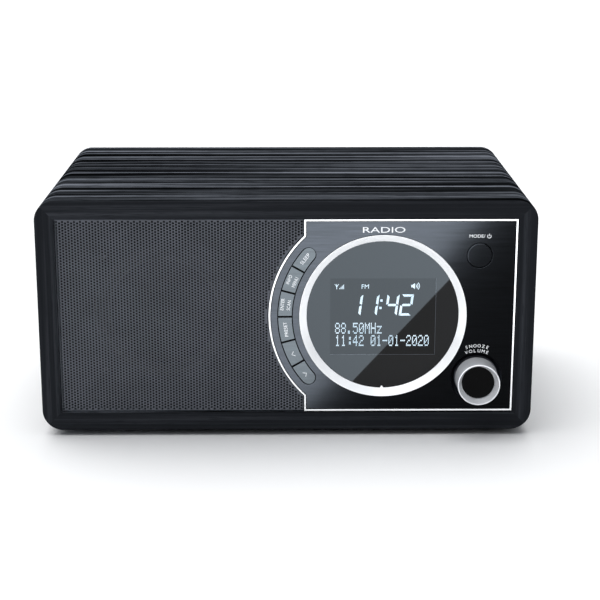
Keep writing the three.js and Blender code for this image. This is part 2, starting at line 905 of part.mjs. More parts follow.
function socketGeometry(socket) {
  const { x, nose, bore, pin, depth } = socket;
  const z = socketHeight(socket);
  const half = nose + 1;
  const back = coverFront - seatGap;
  const housing = block(x - half, x + half, back - depth, back, z - half, z + half);
  const barrel = bar(x, z, nose, back - 1, noseBack, 24);
  const floor = noseBack - depth + 2;
  const hollow = bar(x, z, bore, floor, noseBack + 1, 24);
  const socketShell = cut(join(housing, barrel), hollow);
  if (!pin) return socketShell;
  return join(socketShell, bar(x, z, pin, floor - 1, noseBack - 1, 12));
}

for (const socket of sockets) {
  add(socket.name, socketGeometry(socket), finishes.plastic);
}

// A flat cable from the control board back to the main board, in one plane.
function ribbonCable() {
  const half = 0.35;
  const width = 18;
  const x = mainBoard.right - 50;
  const start = controlBoardBack + seatGap;
  const level = controlBoard.bottom + 18;
  const end = mainBoard.top + seatGap + half;
  const curve = new THREE.CatmullRomCurve3([
    new THREE.Vector3(start, level, 0),
    new THREE.Vector3(start + 8, level, 0),
    new THREE.Vector3((start + mainBoard.front) / 2, (level + end) / 2 - 4, 0),
    new THREE.Vector3(mainBoard.front - 8, end + 1.5, 0),
    new THREE.Vector3(mainBoard.front + 2, end, 0),
    new THREE.Vector3(mainBoard.front + 9, end, 0),
  ]);
  const steps = 24;
  const above = [];
  const below = [];
  for (let i = 0; i <= steps; i++) {
    const point = curve.getPoint(i / steps);
    const along = curve.getTangent(i / steps);
    above.push(new THREE.Vector2(point.x - along.y * half, point.y + along.x * half));
    below.push(new THREE.Vector2(point.x + along.y * half, point.y - along.x * half));
  }
  const outline = new THREE.Shape([...below, ...above.reverse()]);
  const geometry = new THREE.ExtrudeGeometry(outline, { depth: width, bevelEnabled: false });
  const toBoardPlane = new THREE.Matrix4().makeBasis(
    new THREE.Vector3(0, 1, 0),
    new THREE.Vector3(0, 0, 1),
    new THREE.Vector3(1, 0, 0),
  );
  return geometry.applyMatrix4(toBoardPlane).translate(x - width / 2, 0, 0);
}

add("ribbon_cable", ribbonCable(), finishes.ribbon);

// The lead from the speaker's frame down to the main board.
function speakerLead() {
  const radius = 1.2;
  const startX = speakerX + magnetRadius + 6;
  const startY = gapStart - 6;
  const lift = mainBoard.top + seatGap + radius;
  const curve = new THREE.CatmullRomCurve3([
    new THREE.Vector3(startX, startY, speakerZ),
    new THREE.Vector3(startX + 6, startY + 4, speakerZ - 3),
    new THREE.Vector3(startX + 12, startY + 16, speakerZ - 18),
    new THREE.Vector3((startX + mainBoard.left) / 2 + 8, (startY + mainBoard.front) / 2, lift + 14),
    new THREE.Vector3(mainBoard.left + 2, mainBoard.front - 8, lift + 4),
    new THREE.Vector3(mainBoard.left + 6, mainBoard.front + 4, lift),
    new THREE.Vector3(mainBoard.left + 8, mainBoard.front + 8, lift),
  ]);
  const section = new THREE.Shape().absarc(0, 0, radius, 0, 2 * Math.PI);
  return new THREE.ExtrudeGeometry(section, { steps: 18, curveSegments: 4, extrudePath: curve });
}

add("speaker_lead", speakerLead(), finishes.plastic);

// ---- Rear cover ----

function rearCover() {
  const left = -openHalf + seatGap;
  const right = openHalf - seatGap;
  const outline = roundedRect(left, right, openBottom + seatGap, openTop - seatGap, insideCorner);
  const ventMiddle = middleZ + 2;
  for (let i = 0; i < ventCount; i++) {
    const x = speakerX + (i - (ventCount - 1) / 2) * ventPitch;
    const half = ventWidth / 2;
    const bottom = ventMiddle - ventHeight / 2;
    outline.holes.push(roundedRect(x - half, x + half, bottom, bottom + ventHeight, 1.4, THREE.Path));
  }
  const plate = slab(outline, coverFront, coverBack, 1);
  const ribs = [mainBoard.left + 4, mainBoard.right - 4].map((x) => {
    const front = mainBoard.front + 6;
    return block(x - 1.5, x + 1.5, front, coverFront + 1, openBottom + 3, mainBoard.bottom - seatGap);
  });
  const holes = coverScrews.map(([x, z]) => screwHole(x, z, coverBack + seatGap));
  holes.push(hole(aerialX, aerialZ, bushRadius + seatGap, coverFront, coverBack, 24));
  for (const socket of sockets) {
    holes.push(hole(socket.x, socketHeight(socket), socket.nose + seatGap, coverFront, coverBack, 20));
  }
  return cut(join(plate, ...ribs), ...holes);
}

add("rear_cover", rearCover(), finishes.plastic);
coverScrews.forEach(([x, z], index) => {
  add("cover_screw_" + (index + 1), screw(x, z, coverBack + seatGap), finishes.steel);
});

// ---- Aerial ----

const baseBack = cabinetDepth - seatGap;
const swivelFront = baseBack + seatGap * 1.5;
const swivelBack = aerialY - aerialRadii[0] - seatGap;
const stubRadius = 2;
const stubLength = 5;

function aerialBase() {
  const shank = bar(aerialX, aerialZ, bushRadius, coverFront - 8, coverBack + 1, 24);
  const flange = bar(aerialX, aerialZ, aerialBaseRadius, coverBack + seatGap, baseBack, 24);
  const bore = bar(aerialX, aerialZ, stubRadius + runGap, baseBack - stubLength - 1, baseBack + 1, 24);
  return cut(join(shank, flange), bore);
}

// A turntable with two ears and the pin that the rod tilts on.
function aerialSwivel() {
  const earInner = aerialRadii[0] + seatGap;
  const earOuter = earInner + aerialEar;
  const earHalf = aerialRadii[0] + 0.4;
  const table = bar(0, 0, aerialBaseRadius - 0.5, swivelFront, swivelBack, 24);
  const stub = bar(0, 0, stubRadius, baseBack - stubLength, swivelFront + 0.2, 24);
  const ears = [-1, 1].map((side) => {
    const zMin = Math.min(side * earInner, side * earOuter);
    const foot = block(-earHalf, earHalf, swivelBack - 0.5, aerialY, zMin, zMin + aerialEar);
    const round = new THREE.CylinderGeometry(earHalf, earHalf, aerialEar, 24).rotateX(Math.PI / 2);
    return [foot, round.translate(0, aerialY, zMin + aerialEar / 2)];
  });
  const pin = new THREE.CylinderGeometry(aerialPinRadius, aerialPinRadius, earOuter * 2, 16);
  pin.rotateX(Math.PI / 2).translate(0, aerialY, 0);
  return join(table, stub, ...ears.flat(), pin).translate(aerialX, 0, aerialZ);
}

// Turns a profile of [radius, distance from the pivot] points about the folded rod's axis.
function alongRod(profile, segments) {
  return turned(profile, 0, 0, segments).rotateZ(Math.PI / 2);
}

const rodStart = 5;

function aerialTube(index) {
  const outer = aerialRadii[index];
  const bore = aerialBores[index];
  const start = rodStart + index * aerialStep;
  const end = rodStart + aerialTubeLength + index * aerialStep;
  const floor = start + aerialStep - seatGap;
  return alongRod(
    [
      [0, start],
      [outer, start],
      [outer, end],
      [bore, end],
      [bore, floor],
      [0, floor],
    ],
    16,
  );
}

// The first section ends in a flat tongue that turns on the pin.
function aerialRoot() {
  const half = aerialRadii[0];
  const tongueHalf = half - 0.1;
  const tongue = block(-rodStart - 1, 0, -tongueHalf, tongueHalf, -tongueHalf, tongueHalf);
  const nose = new THREE.CylinderGeometry(tongueHalf, tongueHalf, tongueHalf * 2, 24).rotateX(Math.PI / 2);
  const holeRadius = aerialPinRadius + runGap;
  const hole = new THREE.CylinderGeometry(holeRadius, holeRadius, half * 3, 16).rotateX(Math.PI / 2);
  return cut(join(aerialTube(0), tongue, nose), hole);
}

function aerialTip() {
  const start = rodStart + 3 * aerialStep;
  const end = rodStart + aerialTubeLength + 3 * aerialStep;
  const head = 5;
  return alongRod(
    [
      [0, start],
      [aerialTipRadius, start],
      [aerialTipRadius, end],
      [aerialTipHead - 0.6, end],
      [aerialTipHead, end + 0.8],
      [aerialTipHead, end + head - 1.2],
      [aerialTipHead - 1, end + head],
      [0, end + head],
    ],
    16,
  );
}

// The ledge that the folded rod rests over.
function aerialRest() {
  const x = aerialX - rodStart - aerialTubeLength + 12;
  const top = aerialZ - aerialRadii[0] - seatGap;
  const end = aerialY + aerialRadii[0] + 0.5;
  return block(x - 4, x + 4, coverBack + seatGap, end, top - 2.4, top);
}

function atAerial(geometry) {
  return geometry.translate(aerialX, aerialY, aerialZ);
}

add("aerial_base", aerialBase(), finishes.plastic);
add("aerial_swivel", aerialSwivel(), finishes.chrome);
add("aerial_tube_1", atAerial(aerialRoot()), finishes.chrome);
add("aerial_tube_2", atAerial(aerialTube(1)), finishes.chrome);
add("aerial_tube_3", atAerial(aerialTube(2)), finishes.chrome);
add("aerial_tip", atAerial(aerialTip()), finishes.chrome);
add("aerial_rest", aerialRest(), finishes.plastic);

// ---- Place the radio on the floor, with the origin under the middle of its length, front to back ----

const backMost = aerialY + aerialRadii[0] + 0.5;
radio.position.set(0, -(knobFront + backMost) / 2, footHeight);

export default radio;
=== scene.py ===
import math

import bmesh
import bpy
from mathutils import Matrix, Vector


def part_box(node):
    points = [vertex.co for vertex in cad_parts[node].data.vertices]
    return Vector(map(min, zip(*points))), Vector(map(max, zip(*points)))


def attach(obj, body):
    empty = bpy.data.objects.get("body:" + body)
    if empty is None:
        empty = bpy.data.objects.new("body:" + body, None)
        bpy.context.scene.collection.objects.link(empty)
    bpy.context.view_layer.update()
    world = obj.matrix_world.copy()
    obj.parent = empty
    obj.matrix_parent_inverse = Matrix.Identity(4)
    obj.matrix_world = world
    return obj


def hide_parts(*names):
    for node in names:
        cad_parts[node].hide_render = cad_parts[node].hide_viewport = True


# A tabletop radio: black-ash box, perforated grille, dark brushed fascia, round display and a turned knob.
# Metres, in the frame's own axes: +X to the listener's right, +Y to the back, +Z up.

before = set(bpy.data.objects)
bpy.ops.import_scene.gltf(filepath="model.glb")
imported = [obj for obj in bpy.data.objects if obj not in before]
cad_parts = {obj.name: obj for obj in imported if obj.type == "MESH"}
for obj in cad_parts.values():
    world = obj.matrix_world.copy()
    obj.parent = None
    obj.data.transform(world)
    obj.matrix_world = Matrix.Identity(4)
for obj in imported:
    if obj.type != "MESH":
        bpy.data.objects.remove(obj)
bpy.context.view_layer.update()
mm = 0.001
seatGap = 0.3 * mm  # what the frame leaves between two fixed pieces
print("frame loaded:", len(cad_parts), "nodes")

# places taken from the frame

cabinetLow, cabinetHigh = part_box("cabinet_shell")
trimLow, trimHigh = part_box("fascia_trim")
grilleLow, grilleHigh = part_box("speaker_grille")
ringLow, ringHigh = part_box("display_ring")
windowLow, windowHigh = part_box("display_window")
lcdLow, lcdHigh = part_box("lcd_module")
modeLow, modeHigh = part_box("mode_button")
knobLow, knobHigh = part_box("volume_knob")

ringX = (ringLow.x + ringHigh.x) / 2
ringZ = (ringLow.z + ringHigh.z) / 2
bulgeRadius = ringX - trimLow.x
fasciaLeft = grilleHigh.x + seatGap
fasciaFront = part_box("fascia_plate")[0].y
modeX = (modeLow.x + modeHigh.x) / 2
modeZ = (modeLow.z + modeHigh.z) / 2
knobX = (knobLow.x + knobHigh.x) / 2
knobZ = (knobLow.z + knobHigh.z) / 2

# camera

camera = {
    "place": (0.3 * mm, cabinetLow.y - 775.7 * mm, cabinetLow.z + 284.0 * mm),
    "down": 15.274,  # degrees below level
    "right": 0.494,
    "lens": 92.15,
}
cameraData = bpy.data.cameras.new("camera")
cameraData.lens = camera["lens"]
cameraData.sensor_width = 36
cameraObject = bpy.data.objects.new("camera", cameraData)
cameraObject.location = camera["place"]
cameraObject.rotation_euler = (math.radians(90 - camera["down"]), 0, -math.radians(camera["right"]))
bpy.context.scene.collection.objects.link(cameraObject)
bpy.context.scene.camera = cameraObject

# materials: what each surface is


def linear(hexColour):  # "#rrggbb" in sRGB to linear RGBA
    channels = [int(hexColour[i : i + 2], 16) / 255 for i in (1, 3, 5)]
    return [c / 12.92 if c <= 0.04045 else ((c + 0.055) / 1.055) ** 2.4 for c in channels] + [1]


def addNode(tree, kind, values=None, links=None, stops=(), **settings):
    made = tree.nodes.new(kind)
    for key, value in settings.items():
        setattr(made, key, value)
    for socket, value in (values or {}).items():
        made.inputs[socket].default_value = value
    for socket, source in (links or {}).items():
        tree.links.new(source, made.inputs[socket])
    for index, (position, colour) in enumerate(stops):  # the colours of a ramp, in order
        elements = made.color_ramp.elements
        element = elements[index] if index < 2 else elements.new(position)
        element.position = position
        element.color = linear(colour)
    return made


def newMaterial(name, **values):  # values set the shader's own sockets, spaces written as underscores
    material = bpy.data.materials.new(name)
    material.use_nodes = True
    tree = material.node_tree
    shader = tree.nodes["Principled BSDF"]
    for key, value in values.items():
        shader.inputs[key.replace("_", " ")].default_value = value
    return material, tree, shader


def dress(tree, shader, colour, height, roughness, depth, strength=0.5):  # joins a finish to its shader
    low, high = roughness
    gloss = addNode(tree, "ShaderNodeMapRange", {"To Min": low, "To Max": high}, {"Value": height})
    steep = {"Distance": depth, "Strength": strength}
    relief = addNode(tree, "ShaderNodeBump", steep, {"Height": height})
    tree.links.new(colour, shader.inputs["Base Color"])
    tree.links.new(gloss.outputs[0], shader.inputs["Roughness"])
    tree.links.new(relief.outputs[0], shader.inputs["Normal"])


# Black-ash vinyl foil on board: grey and black streaks printed along the grain, open pores, satin.
# Its pattern follows the cabinet's own map: U along the grain and V across it, in metres.
ash = {
    # length, width and detail of the bands, lines and pores
    "streaks": ((520 * mm, 6.5 * mm, 2), (210 * mm, 2.2 * mm, 3), (14 * mm, 0.5 * mm, 2)),
    "share": 0.42,  # of the finer streaks in the colour
    "colours": [
        (0.41, "#050607"),
        (0.47, "#141618"),
        (0.52, "#3b3e43"),
        (0.57, "#6c7078"),
        (0.65, "#9296a0"),
    ],
    "pores": [(0.34, "#6a6a6a"), (0.46, "#ffffff")],
    # painted shade for the faces that look to the front or back, and how much of the streaks it covers
    "faceShade": "#26282c",
    "faceShadeCover": 0.9,
    "roughness": (0.45, 0.65),
    "depth": 0.1 * mm,
}


def makeBlackAsh():
    material, tree, shader = newMaterial("blackAshFoil", Specular_IOR_Level=0.0)
    grain = addNode(tree, "ShaderNodeUVMap", uv_map="grain").outputs[0]
    streaks = []
    for length, width, detail in ash["streaks"]:
        scale = (1 / length, 1 / width, 1)
        stretched = addNode(tree, "ShaderNodeMapping", {"Scale": scale}, {"Vector": grain}).outputs[0]
        noise = {"Scale": 1.0, "Detail": detail, "Roughness": 0.6}
        streaks.append(addNode(tree, "ShaderNodeTexNoise", noise, {"Vector": stretched}).outputs[0])
    bands, lines, pores = streaks
    mixed = addNode(tree, "ShaderNodeMix", {0: ash["share"]}, {2: bands, 3: lines}).outputs[0]
    printed = addNode(tree, "ShaderNodeValToRGB", links={0: mixed}, stops=ash["colours"]).outputs[0]
    openPores = addNode(tree, "ShaderNodeValToRGB", links={0: pores}, stops=ash["pores"]).outputs[0]
    both = {6: printed, 7: openPores}
    multiply = {"data_type": "RGBA", "blend_type": "MULTIPLY"}
    tinted = addNode(tree, "ShaderNodeMix", {0: 1.0}, both, **multiply).outputs[2]
    # painted shade: faces that look to the front or back take a flat, darker colour over most of the
    # streaks, standing in for the sheen they lose there
    facing = addNode(tree, "ShaderNodeTexCoord").outputs["Normal"]
    towards = addNode(tree, "ShaderNodeSeparateXYZ", links={0: facing}).outputs["Y"]
    onFace = addNode(tree, "ShaderNodeMath", links={0: towards}, operation="ABSOLUTE").outputs[0]
    limits = {"From Min": 0.6, "From Max": 0.8, "To Max": ash["faceShadeCover"]}
    cover = addNode(tree, "ShaderNodeMapRange", limits, {"Value": onFace}).outputs[0]
    colour = addNode(
        tree, "ShaderNodeMix", {7: linear(ash["faceShade"])}, {0: cover, 6: tinted}, data_type="RGBA"
    ).outputs[2]
    relief = addNode(tree, "ShaderNodeMix", {0: 0.85}, {2: lines, 3: pores}).outputs[0]
    dress(tree, shader, colour, relief, ash["roughness"], ash["depth"], 0.6)
    return material


# Brushed: fine straight scratches along X in colour, gloss and height.
# The real scratches are 0.05 mm wide; they are drawn at 0.3 mm to show.
scratchWidth = 0.3 * mm
scratchStretch = 0.012  # width over length


def makeBrushed(name, colour, dark, roughness, metallic, strength=0.35, **values):
    material, tree, shader = newMaterial(name, Metallic=metallic, **values)
    where = addNode(tree, "ShaderNodeTexCoord").outputs["Object"]
    scale = (scratchStretch, 1, 1)
    stretched = addNode(tree, "ShaderNodeMapping", {"Scale": scale}, {"Vector": where}).outputs[0]
    fine = {"Scale": 1 / scratchWidth, "Detail": 3, "Roughness": 0.7}
    scratch = addNode(tree, "ShaderNodeTexNoise", fine, {"Vector": stretched}).outputs[0]
    tone = addNode(tree, "ShaderNodeValToRGB", links={0: scratch}, stops=[(0.32, dark), (0.68, colour)])
    dress(tree, shader, tone.outputs[0], scratch, (roughness - 0.05, roughness + 0.08), 0.008 * mm, strength)
    return material


# Moulded, painted or plated: an even colour with slow clouding, and a fine grain in height and gloss.
def makeMoulded(name, colour, dark, roughness, grain, depth, metallic=0.0, **values):
    material, tree, shader = newMaterial(name, Metallic=metallic, **values)
    where = addNode(tree, "ShaderNodeTexCoord").outputs["Object"]
    fineValues = {"Scale": 1 / grain, "Detail": 4, "Roughness": 0.6}
    fine = addNode(tree, "ShaderNodeTexNoise", fineValues, {"Vector": where}).outputs[0]
    slowValues = {"Scale": 1 / (12 * mm), "Detail": 2}
    cloudy = addNode(tree, "ShaderNodeTexNoise", slowValues, {"Vector": where}).outputs[0]
    tone = addNode(tree, "ShaderNodeValToRGB", links={0: cloudy}, stops=[(0.35, dark), (0.65, colour)])
    dress(tree, shader, tone.outputs[0], fine, (roughness - 0.06, roughness + 0.06), depth)
    return material


# Turned on a lathe: rings about an axis along Y through a point in X and Z.
def makeTurned(name, colour, dark, roughness, axis, pitch, metallic=1.0):
    material, tree, shader = newMaterial(name, Metallic=metallic)
    where = addNode(tree, "ShaderNodeTexCoord").outputs["Object"]
    x, z = axis
    centring = {"Location": (-x, 0, -z), "Scale": (1, 0, 1)}
    moved = addNode(tree, "ShaderNodeMapping", centring, {"Vector": where}).outputs[0]
    radius = addNode(tree, "ShaderNodeVectorMath", links={0: moved}, operation="LENGTH").outputs["Value"]
    line = addNode(tree, "ShaderNodeCombineXYZ", links={0: radius}).outputs[0]
    groove = {"Scale": 1 / pitch, "Detail": 2, "Roughness": 0.6}
    rings = addNode(tree, "ShaderNodeTexNoise", groove, {"Vector": line}).outputs[0]
    tone = addNode(tree, "ShaderNodeValToRGB", links={0: rings}, stops=[(0.3, dark), (0.7, colour)])
    dress(tree, shader, tone.outputs[0], rings, (roughness - 0.04, roughness + 0.06), 0.006 * mm, 0.35)
    return material


# Smoked acrylic, polished and backed in black: nearly black, with clear reflections.
# The display shows at its face, so the window itself is left opaque.
def makeSmokedAcrylic(name, light, dark, gloss):
    material, tree, shader = newMaterial(name, Roughness=0.04, Specular_IOR_Level=gloss)
    where = addNode(tree, "ShaderNodeTexCoord").outputs["Object"]
    slowValues = {"Scale": 1 / (30 * mm), "Detail": 2}
    cloudy = addNode(tree, "ShaderNodeTexNoise", slowValues, {"Vector": where}).outputs[0]
    tone = addNode(tree, "ShaderNodeValToRGB", links={0: cloudy}, stops=[(0.3, dark), (0.7, light)])
    tree.links.new(tone.outputs[0], shader.inputs["Base Color"])
    return material


# Display segments lit from behind: white with a faint blue cast, a little uneven from the backlight.
def makeLit():
    material, tree, shader = newMaterial("litSegments", Roughness=0.6, Emission_Strength=0.72)
    where = addNode(tree, "ShaderNodeTexCoord").outputs["Object"]
    slowValues = {"Scale": 1 / (9 * mm), "Detail": 2}
    cloudy = addNode(tree, "ShaderNodeTexNoise", slowValues, {"Vector": where}).outputs[0]
    colours = [(0.3, "#bdd6e6"), (0.7, "#d9ebf6")]
    tone = addNode(tree, "ShaderNodeValToRGB", links={0: cloudy}, stops=colours)
    tree.links.new(tone.outputs[0], shader.inputs["Base Color"])
    tree.links.new(tone.outputs[0], shader.inputs["Emission Color"])
    return material


blackAsh = makeBlackAsh()

# anodised and dyed black, brushed: dark and silky, and the dye keeps it dark when seen from the side
dyed = {"Specular_Tint": (0.5, 0.5, 0.5, 1)}
fasciaMetal = makeBrushed("blackAnodisedBrushed", "#121315", "#0c0d0e", 0.31, 1.0, **dyed)
keyMetal = makeBrushed("blackAnodisedKeys", "#181a1b", "#121314", 0.36, 1.0, **dyed)
# bright drawn aluminium: a thin white line
trimMetal = makeBrushed("brightTrim", "#fbfcfd", "#f0f1f3", 0.3, 1.0, 0.2)
# satin-lacquered ring: pale, with soft highlights that follow the turning
ringMetal = makeTurned("satinRing", "#fbfcfd", "#f1f2f4", 0.34, (ringX, ringZ), 0.5 * mm, 0.4)
# bead-blasted aluminium: light grey, no sharp reflections
knobMetal = makeTurned("blastedAluminium", "#eeeff2", "#e0e2e6", 0.3, (knobX, knobZ), 0.3 * mm, 0.5)
# turned, with fine rings round the knob; painted light: a grey far lighter than the black fascia it belongs
# to, standing in for the light the hollow catches
dishPaintedLight = makeTurned("turnedDishPaintedLight", "#55575e", "#3c3e44", 0.28, (knobX, knobZ), 0.4 * mm)

# polished acrylic: near black until it catches a light
smokedWindow = makeSmokedAcrylic("smokedAcrylic", "#090b0f", "#07080b", 0.26)
displayPane = makeSmokedAcrylic("polarisedPane", "#08090b", "#060709", 0.22)
# painted highlight: a pale grey for the light line along the display field's right and bottom edges
paneEdgePaintedHighlight = makeSmokedAcrylic("paneEdgePaintedHighlight", "#4b5058", "#42464d", 0.3)
litWhite = makeLit()

# name, colour, darker colour, roughness, grain size, grain depth, metallic, and what it gives the eye
moulded = {
    "footRubber": ("mouldedRubber", "#1a1a1a", "#141414", 0.85, 0.4, 0.03, 0),  # dull, without reflections
    "boardPaint": ("blackPaintedBoard", "#0d0d0e", "#080809", 0.8, 0.6, 0.04, 0),  # flat black
    "displayGlass": ("displayGlass", "#0a0c10", "#07090c", 0.3, 0.2, 0.002, 0),  # dark, faintly blue
    "legendInk": ("legendInk", "#e6e8ea", "#dcdee1", 0.6, 0.2, 0.002, 0),  # flat off-white print
    "blackPlastic": ("blackAbs", "#17181a", "#121314", 0.45, 0.3, 0.02, 0),  # satin black
    "rearPlastic": ("sparkErodedAbs", "#1d1e20", "#17181a", 0.6, 0.45, 0.05, 0),  # pebbled charcoal
    "conePaper": ("pressedPaper", "#1c1c1d", "#131314", 0.9, 0.35, 0.06, 0),  # felted black
    "surroundRubber": ("butylRubber", "#131313", "#0e0e0e", 0.6, 0.5, 0.01, 0),  # soft black
    "ferrite": ("ferrite", "#2b2b2e", "#202022", 0.7, 0.3, 0.03, 0.2),  # ceramic grey
    "zincSteel": ("zincPlatedSteel", "#a9abae", "#8f9195", 0.35, 0.4, 0.01, 1),  # cool bright grey
    "screwSteel": ("blackenedSteel", "#3a3b3f", "#2a2b2e", 0.34, 0.2, 0.01, 0.9),  # dark with a glint
    "tinPlate": ("tinPlate", "#c5c8cc", "#adb0b5", 0.3, 0.6, 0.01, 1),  # pale mirror, a little clouded
    "solderMask": ("solderMask", "#14532d", "#0f4224", 0.4, 0.8, 0.01, 0),  # green lacquer
    "ribbonPvc": ("ribbonPvc", "#b9bab6", "#a9aaa6", 0.55, 0.4, 0.01, 0),  # matt light grey
    "leadPvc": ("leadPvc", "#1b1b1c", "#151516", 0.5, 0.4, 0.01, 0),  # smooth black jacket
    "chromeTube": ("chromePlate", "#dfe1e4", "#d0d3d7", 0.13, 0.6, 0.002, 1),  # mirror bright
}
finishes = {}
for key, (name, colour, dark, roughness, grain, depth, metallic) in moulded.items():
    finishes[key] = makeMoulded(name, colour, dark, roughness, grain * mm, depth * mm, float(metallic))
# powder-coated steel: an even dark grey that hardly shines
powder = ("powderCoatedSteel", "#696d76", "#62666e", 0.5, 0.25 * mm, 0.01 * mm)
grillePaint = makeMoulded(*powder, Specular_IOR_Level=0.3)
# polished ABS: a deep black
glossAbs = ("glossBlackAbs", "#050506", "#030304", 0.14, 0.5 * mm, 0.002 * mm)
glossBlack = makeMoulded(*glossAbs, Specular_IOR_Level=0.06)
print("materials made:", len(bpy.data.materials))

# outlines in X and Z; inset draws an edge in, or makes a hole wider


def arc(x, z, radius, start, end, steps):
    angles = [start + (end - start) * i / steps for i in range(steps + 1)]
    return [(x + radius * math.cos(a), z + radius * math.sin(a)) for a in angles]


def circle(x, z, radius, steps=64):
    return arc(x, z, radius, 0, 2 * math.pi, steps)[:-1]


def roundedBox(left, right, bottom, top, radius, steps=8):
    corners = [(right, top, 0), (left, top, 1), (left, bottom, 2), (right, bottom, 3)]
    outline = []
    for x, z, turn in corners:
        centreX = x - radius if x == right else x + radius
        centreZ = z - radius if z == top else z + radius
        outline += arc(centreX, centreZ, radius, turn * math.pi / 2, (turn + 1) * math.pi / 2, steps)
    return outline


def fasciaOutline(inset):
    left = fasciaLeft + inset
    right, bottom, top = trimHigh.x - inset, trimLow.z + inset, trimHigh.z - inset
    radius = bulgeRadius - inset
    meets = math.acos((left - ringX) / radius)
    corners = [(left, bottom), (right, bottom), (right, top), (left, top)]
    return corners + arc(ringX, ringZ, radius, meets, 2 * math.pi - meets, 48)


def grilleOutline(inset):
    left, right = grilleLow.x + inset, grilleHigh.x - inset
    bottom, top = grilleLow.z + inset, grilleHigh.z - inset
    radius = bulgeRadius + seatGap + inset
    meets = math.acos((right - ringX) / radius)
    bulge = arc(ringX, ringZ, radius, 2 * math.pi - meets, meets, 48)
    return [(left, bottom), (right, bottom)] + bulge + [(right, top), (left, top)]


# A band round the ring: start and end in radians, each end square or fully round.
def bandOutline(inner, outer, start, end, roundStart, roundEnd, split, inset, steps=16):
    inner, outer = inner + inset, outer - inset
    middle, cap = (inner + outer) / 2, (outer - inner) / 2
    reach = cap + inset
    first = start + reach / middle if roundStart else start
    last = end - reach / middle if roundEnd else end
    trim = split / 2 + inset
    outline = []
    outerStart = first if roundStart else first + trim / outer
    outerEnd = last if roundEnd else last - trim / outer
    innerStart = first if roundStart else first + trim / inner
    innerEnd = last if roundEnd else last - trim / inner
    outline += arc(ringX, ringZ, outer, outerStart, outerEnd, steps)
    if roundEnd:
        x, z = ringX + middle * math.cos(last), ringZ + middle * math.sin(last)
        outline += arc(x, z, cap, last, last + math.pi, 12)[1:-1]
    outline += arc(ringX, ringZ, inner, innerEnd, innerStart, steps)
    if roundStart:
        x, z = ringX + middle * math.cos(first), ringZ + middle * math.sin(first)
        outline += arc(x, z, cap, first + math.pi, first + 2 * math.pi, 12)[1:-1]
    return outline


# modelling helpers


def addLoop(bm, outline, y):  # a closed loop of edges
    corners = [bm.verts.new((x, y, z)) for x, z in outline]
    return [bm.edges.new((a, b)) for a, b in zip(corners, corners[1:] + corners[:1])]


# Extrudes a loop of edges through a list of (outline, y), corner to corner, and gives the last loop.
def drawLoop(bm, edges, stations):
    corners = [edge.verts[0] for edge in edges]
    for outline, y in stations:
        made = bmesh.ops.extrude_edge_only(bm, edges=edges)["geom"]
        fresh = set(v for v in made if isinstance(v, bmesh.types.BMVert))
        corners = [next(e.other_vert(v) for e in v.link_edges if e.other_vert(v) in fresh) for v in corners]
        for corner, (x, z) in zip(corners, outline):
            corner.co = (x, y, z)
        edges = [bm.edges.get(pair) for pair in zip(corners, corners[1:] + corners[:1])]
    return edges


# Insets and depths of an edge rounded by a quarter circle, from the side to the face.
# Away is +1 or -1 in Y.
def roundedEdge(radius, face, away, steps=3):
    if not radius:
        return [(0, face)]
    turns = [math.pi / 2 * i / steps for i in range(steps + 1)]
    return [(radius * (1 - math.cos(t)), face + away * radius * (1 - math.sin(t))) for t in turns]


# A plate between two depths in Y, with a rounded front edge on every contour and, if asked, a rounded back.
def plateShape(contours, front, back, edge=0.0, backEdge=0.0, steps=3):
    bm = bmesh.new()
    fronts, backs = [], []
    stations = roundedEdge(backEdge, back, -1, steps)[::-1] + roundedEdge(edge, front, 1, steps)
    for contour in contours:
        first, *rest = [(contour(inset), y) for inset, y in stations]
        start = addLoop(bm, *first)
        backs += start
        fronts += drawLoop(bm, start, rest)
    bmesh.ops.triangle_fill(bm, use_beauty=True, edges=fronts, normal=(0, -1, 0))
    bmesh.ops.triangle_fill(bm, use_beauty=True, edges=backs, normal=(0, 1, 0))
    return bm


# Rounds the corners of a profile. Each point is (radius from the axis, y, rounding).
def softened(points, closed=True, steps=4):
    result = []
    count = len(points)
    for i, (r, y, rounding) in enumerate(points):
        here = Vector((r, y))
        if not rounding or (not closed and i in (0, count - 1)):
            result.append(here)
            continue
        before = (Vector(points[i - 1][:2]) - here).normalized()
        after = (Vector(points[(i + 1) % count][:2]) - here).normalized()
        half = before.angle(after) / 2
        reach = rounding / math.tan(half)
        centre = here + (before + after).normalized() * (rounding / math.sin(half))
        a, b = here + before * reach - centre, here + after * reach - centre
        for step in range(steps + 1):
            result.append(centre + a.normalized().slerp(b.normalized(), step / steps) * rounding)
    return result


def spinShape(profile, x, z, segments=96, closed=True):  # turns a profile about an axis along Y
    bm = bmesh.new()
    corners = [bm.verts.new((x + p.x, p.y, z)) for p in profile]
    pairs = list(zip(corners, corners[1:])) + ([(corners[-1], corners[0])] if closed else [])
    edges = [bm.edges.new(pair) for pair in pairs]
    bmesh.ops.spin(
        bm,
        geom=corners + edges,
        cent=(x, 0, z),
        axis=(0, 1, 0),
        angle=2 * math.pi,
        steps=segments,
        use_merge=True,
    )
    bmesh.ops.remove_doubles(bm, verts=bm.verts, dist=1e-7)
    return bm


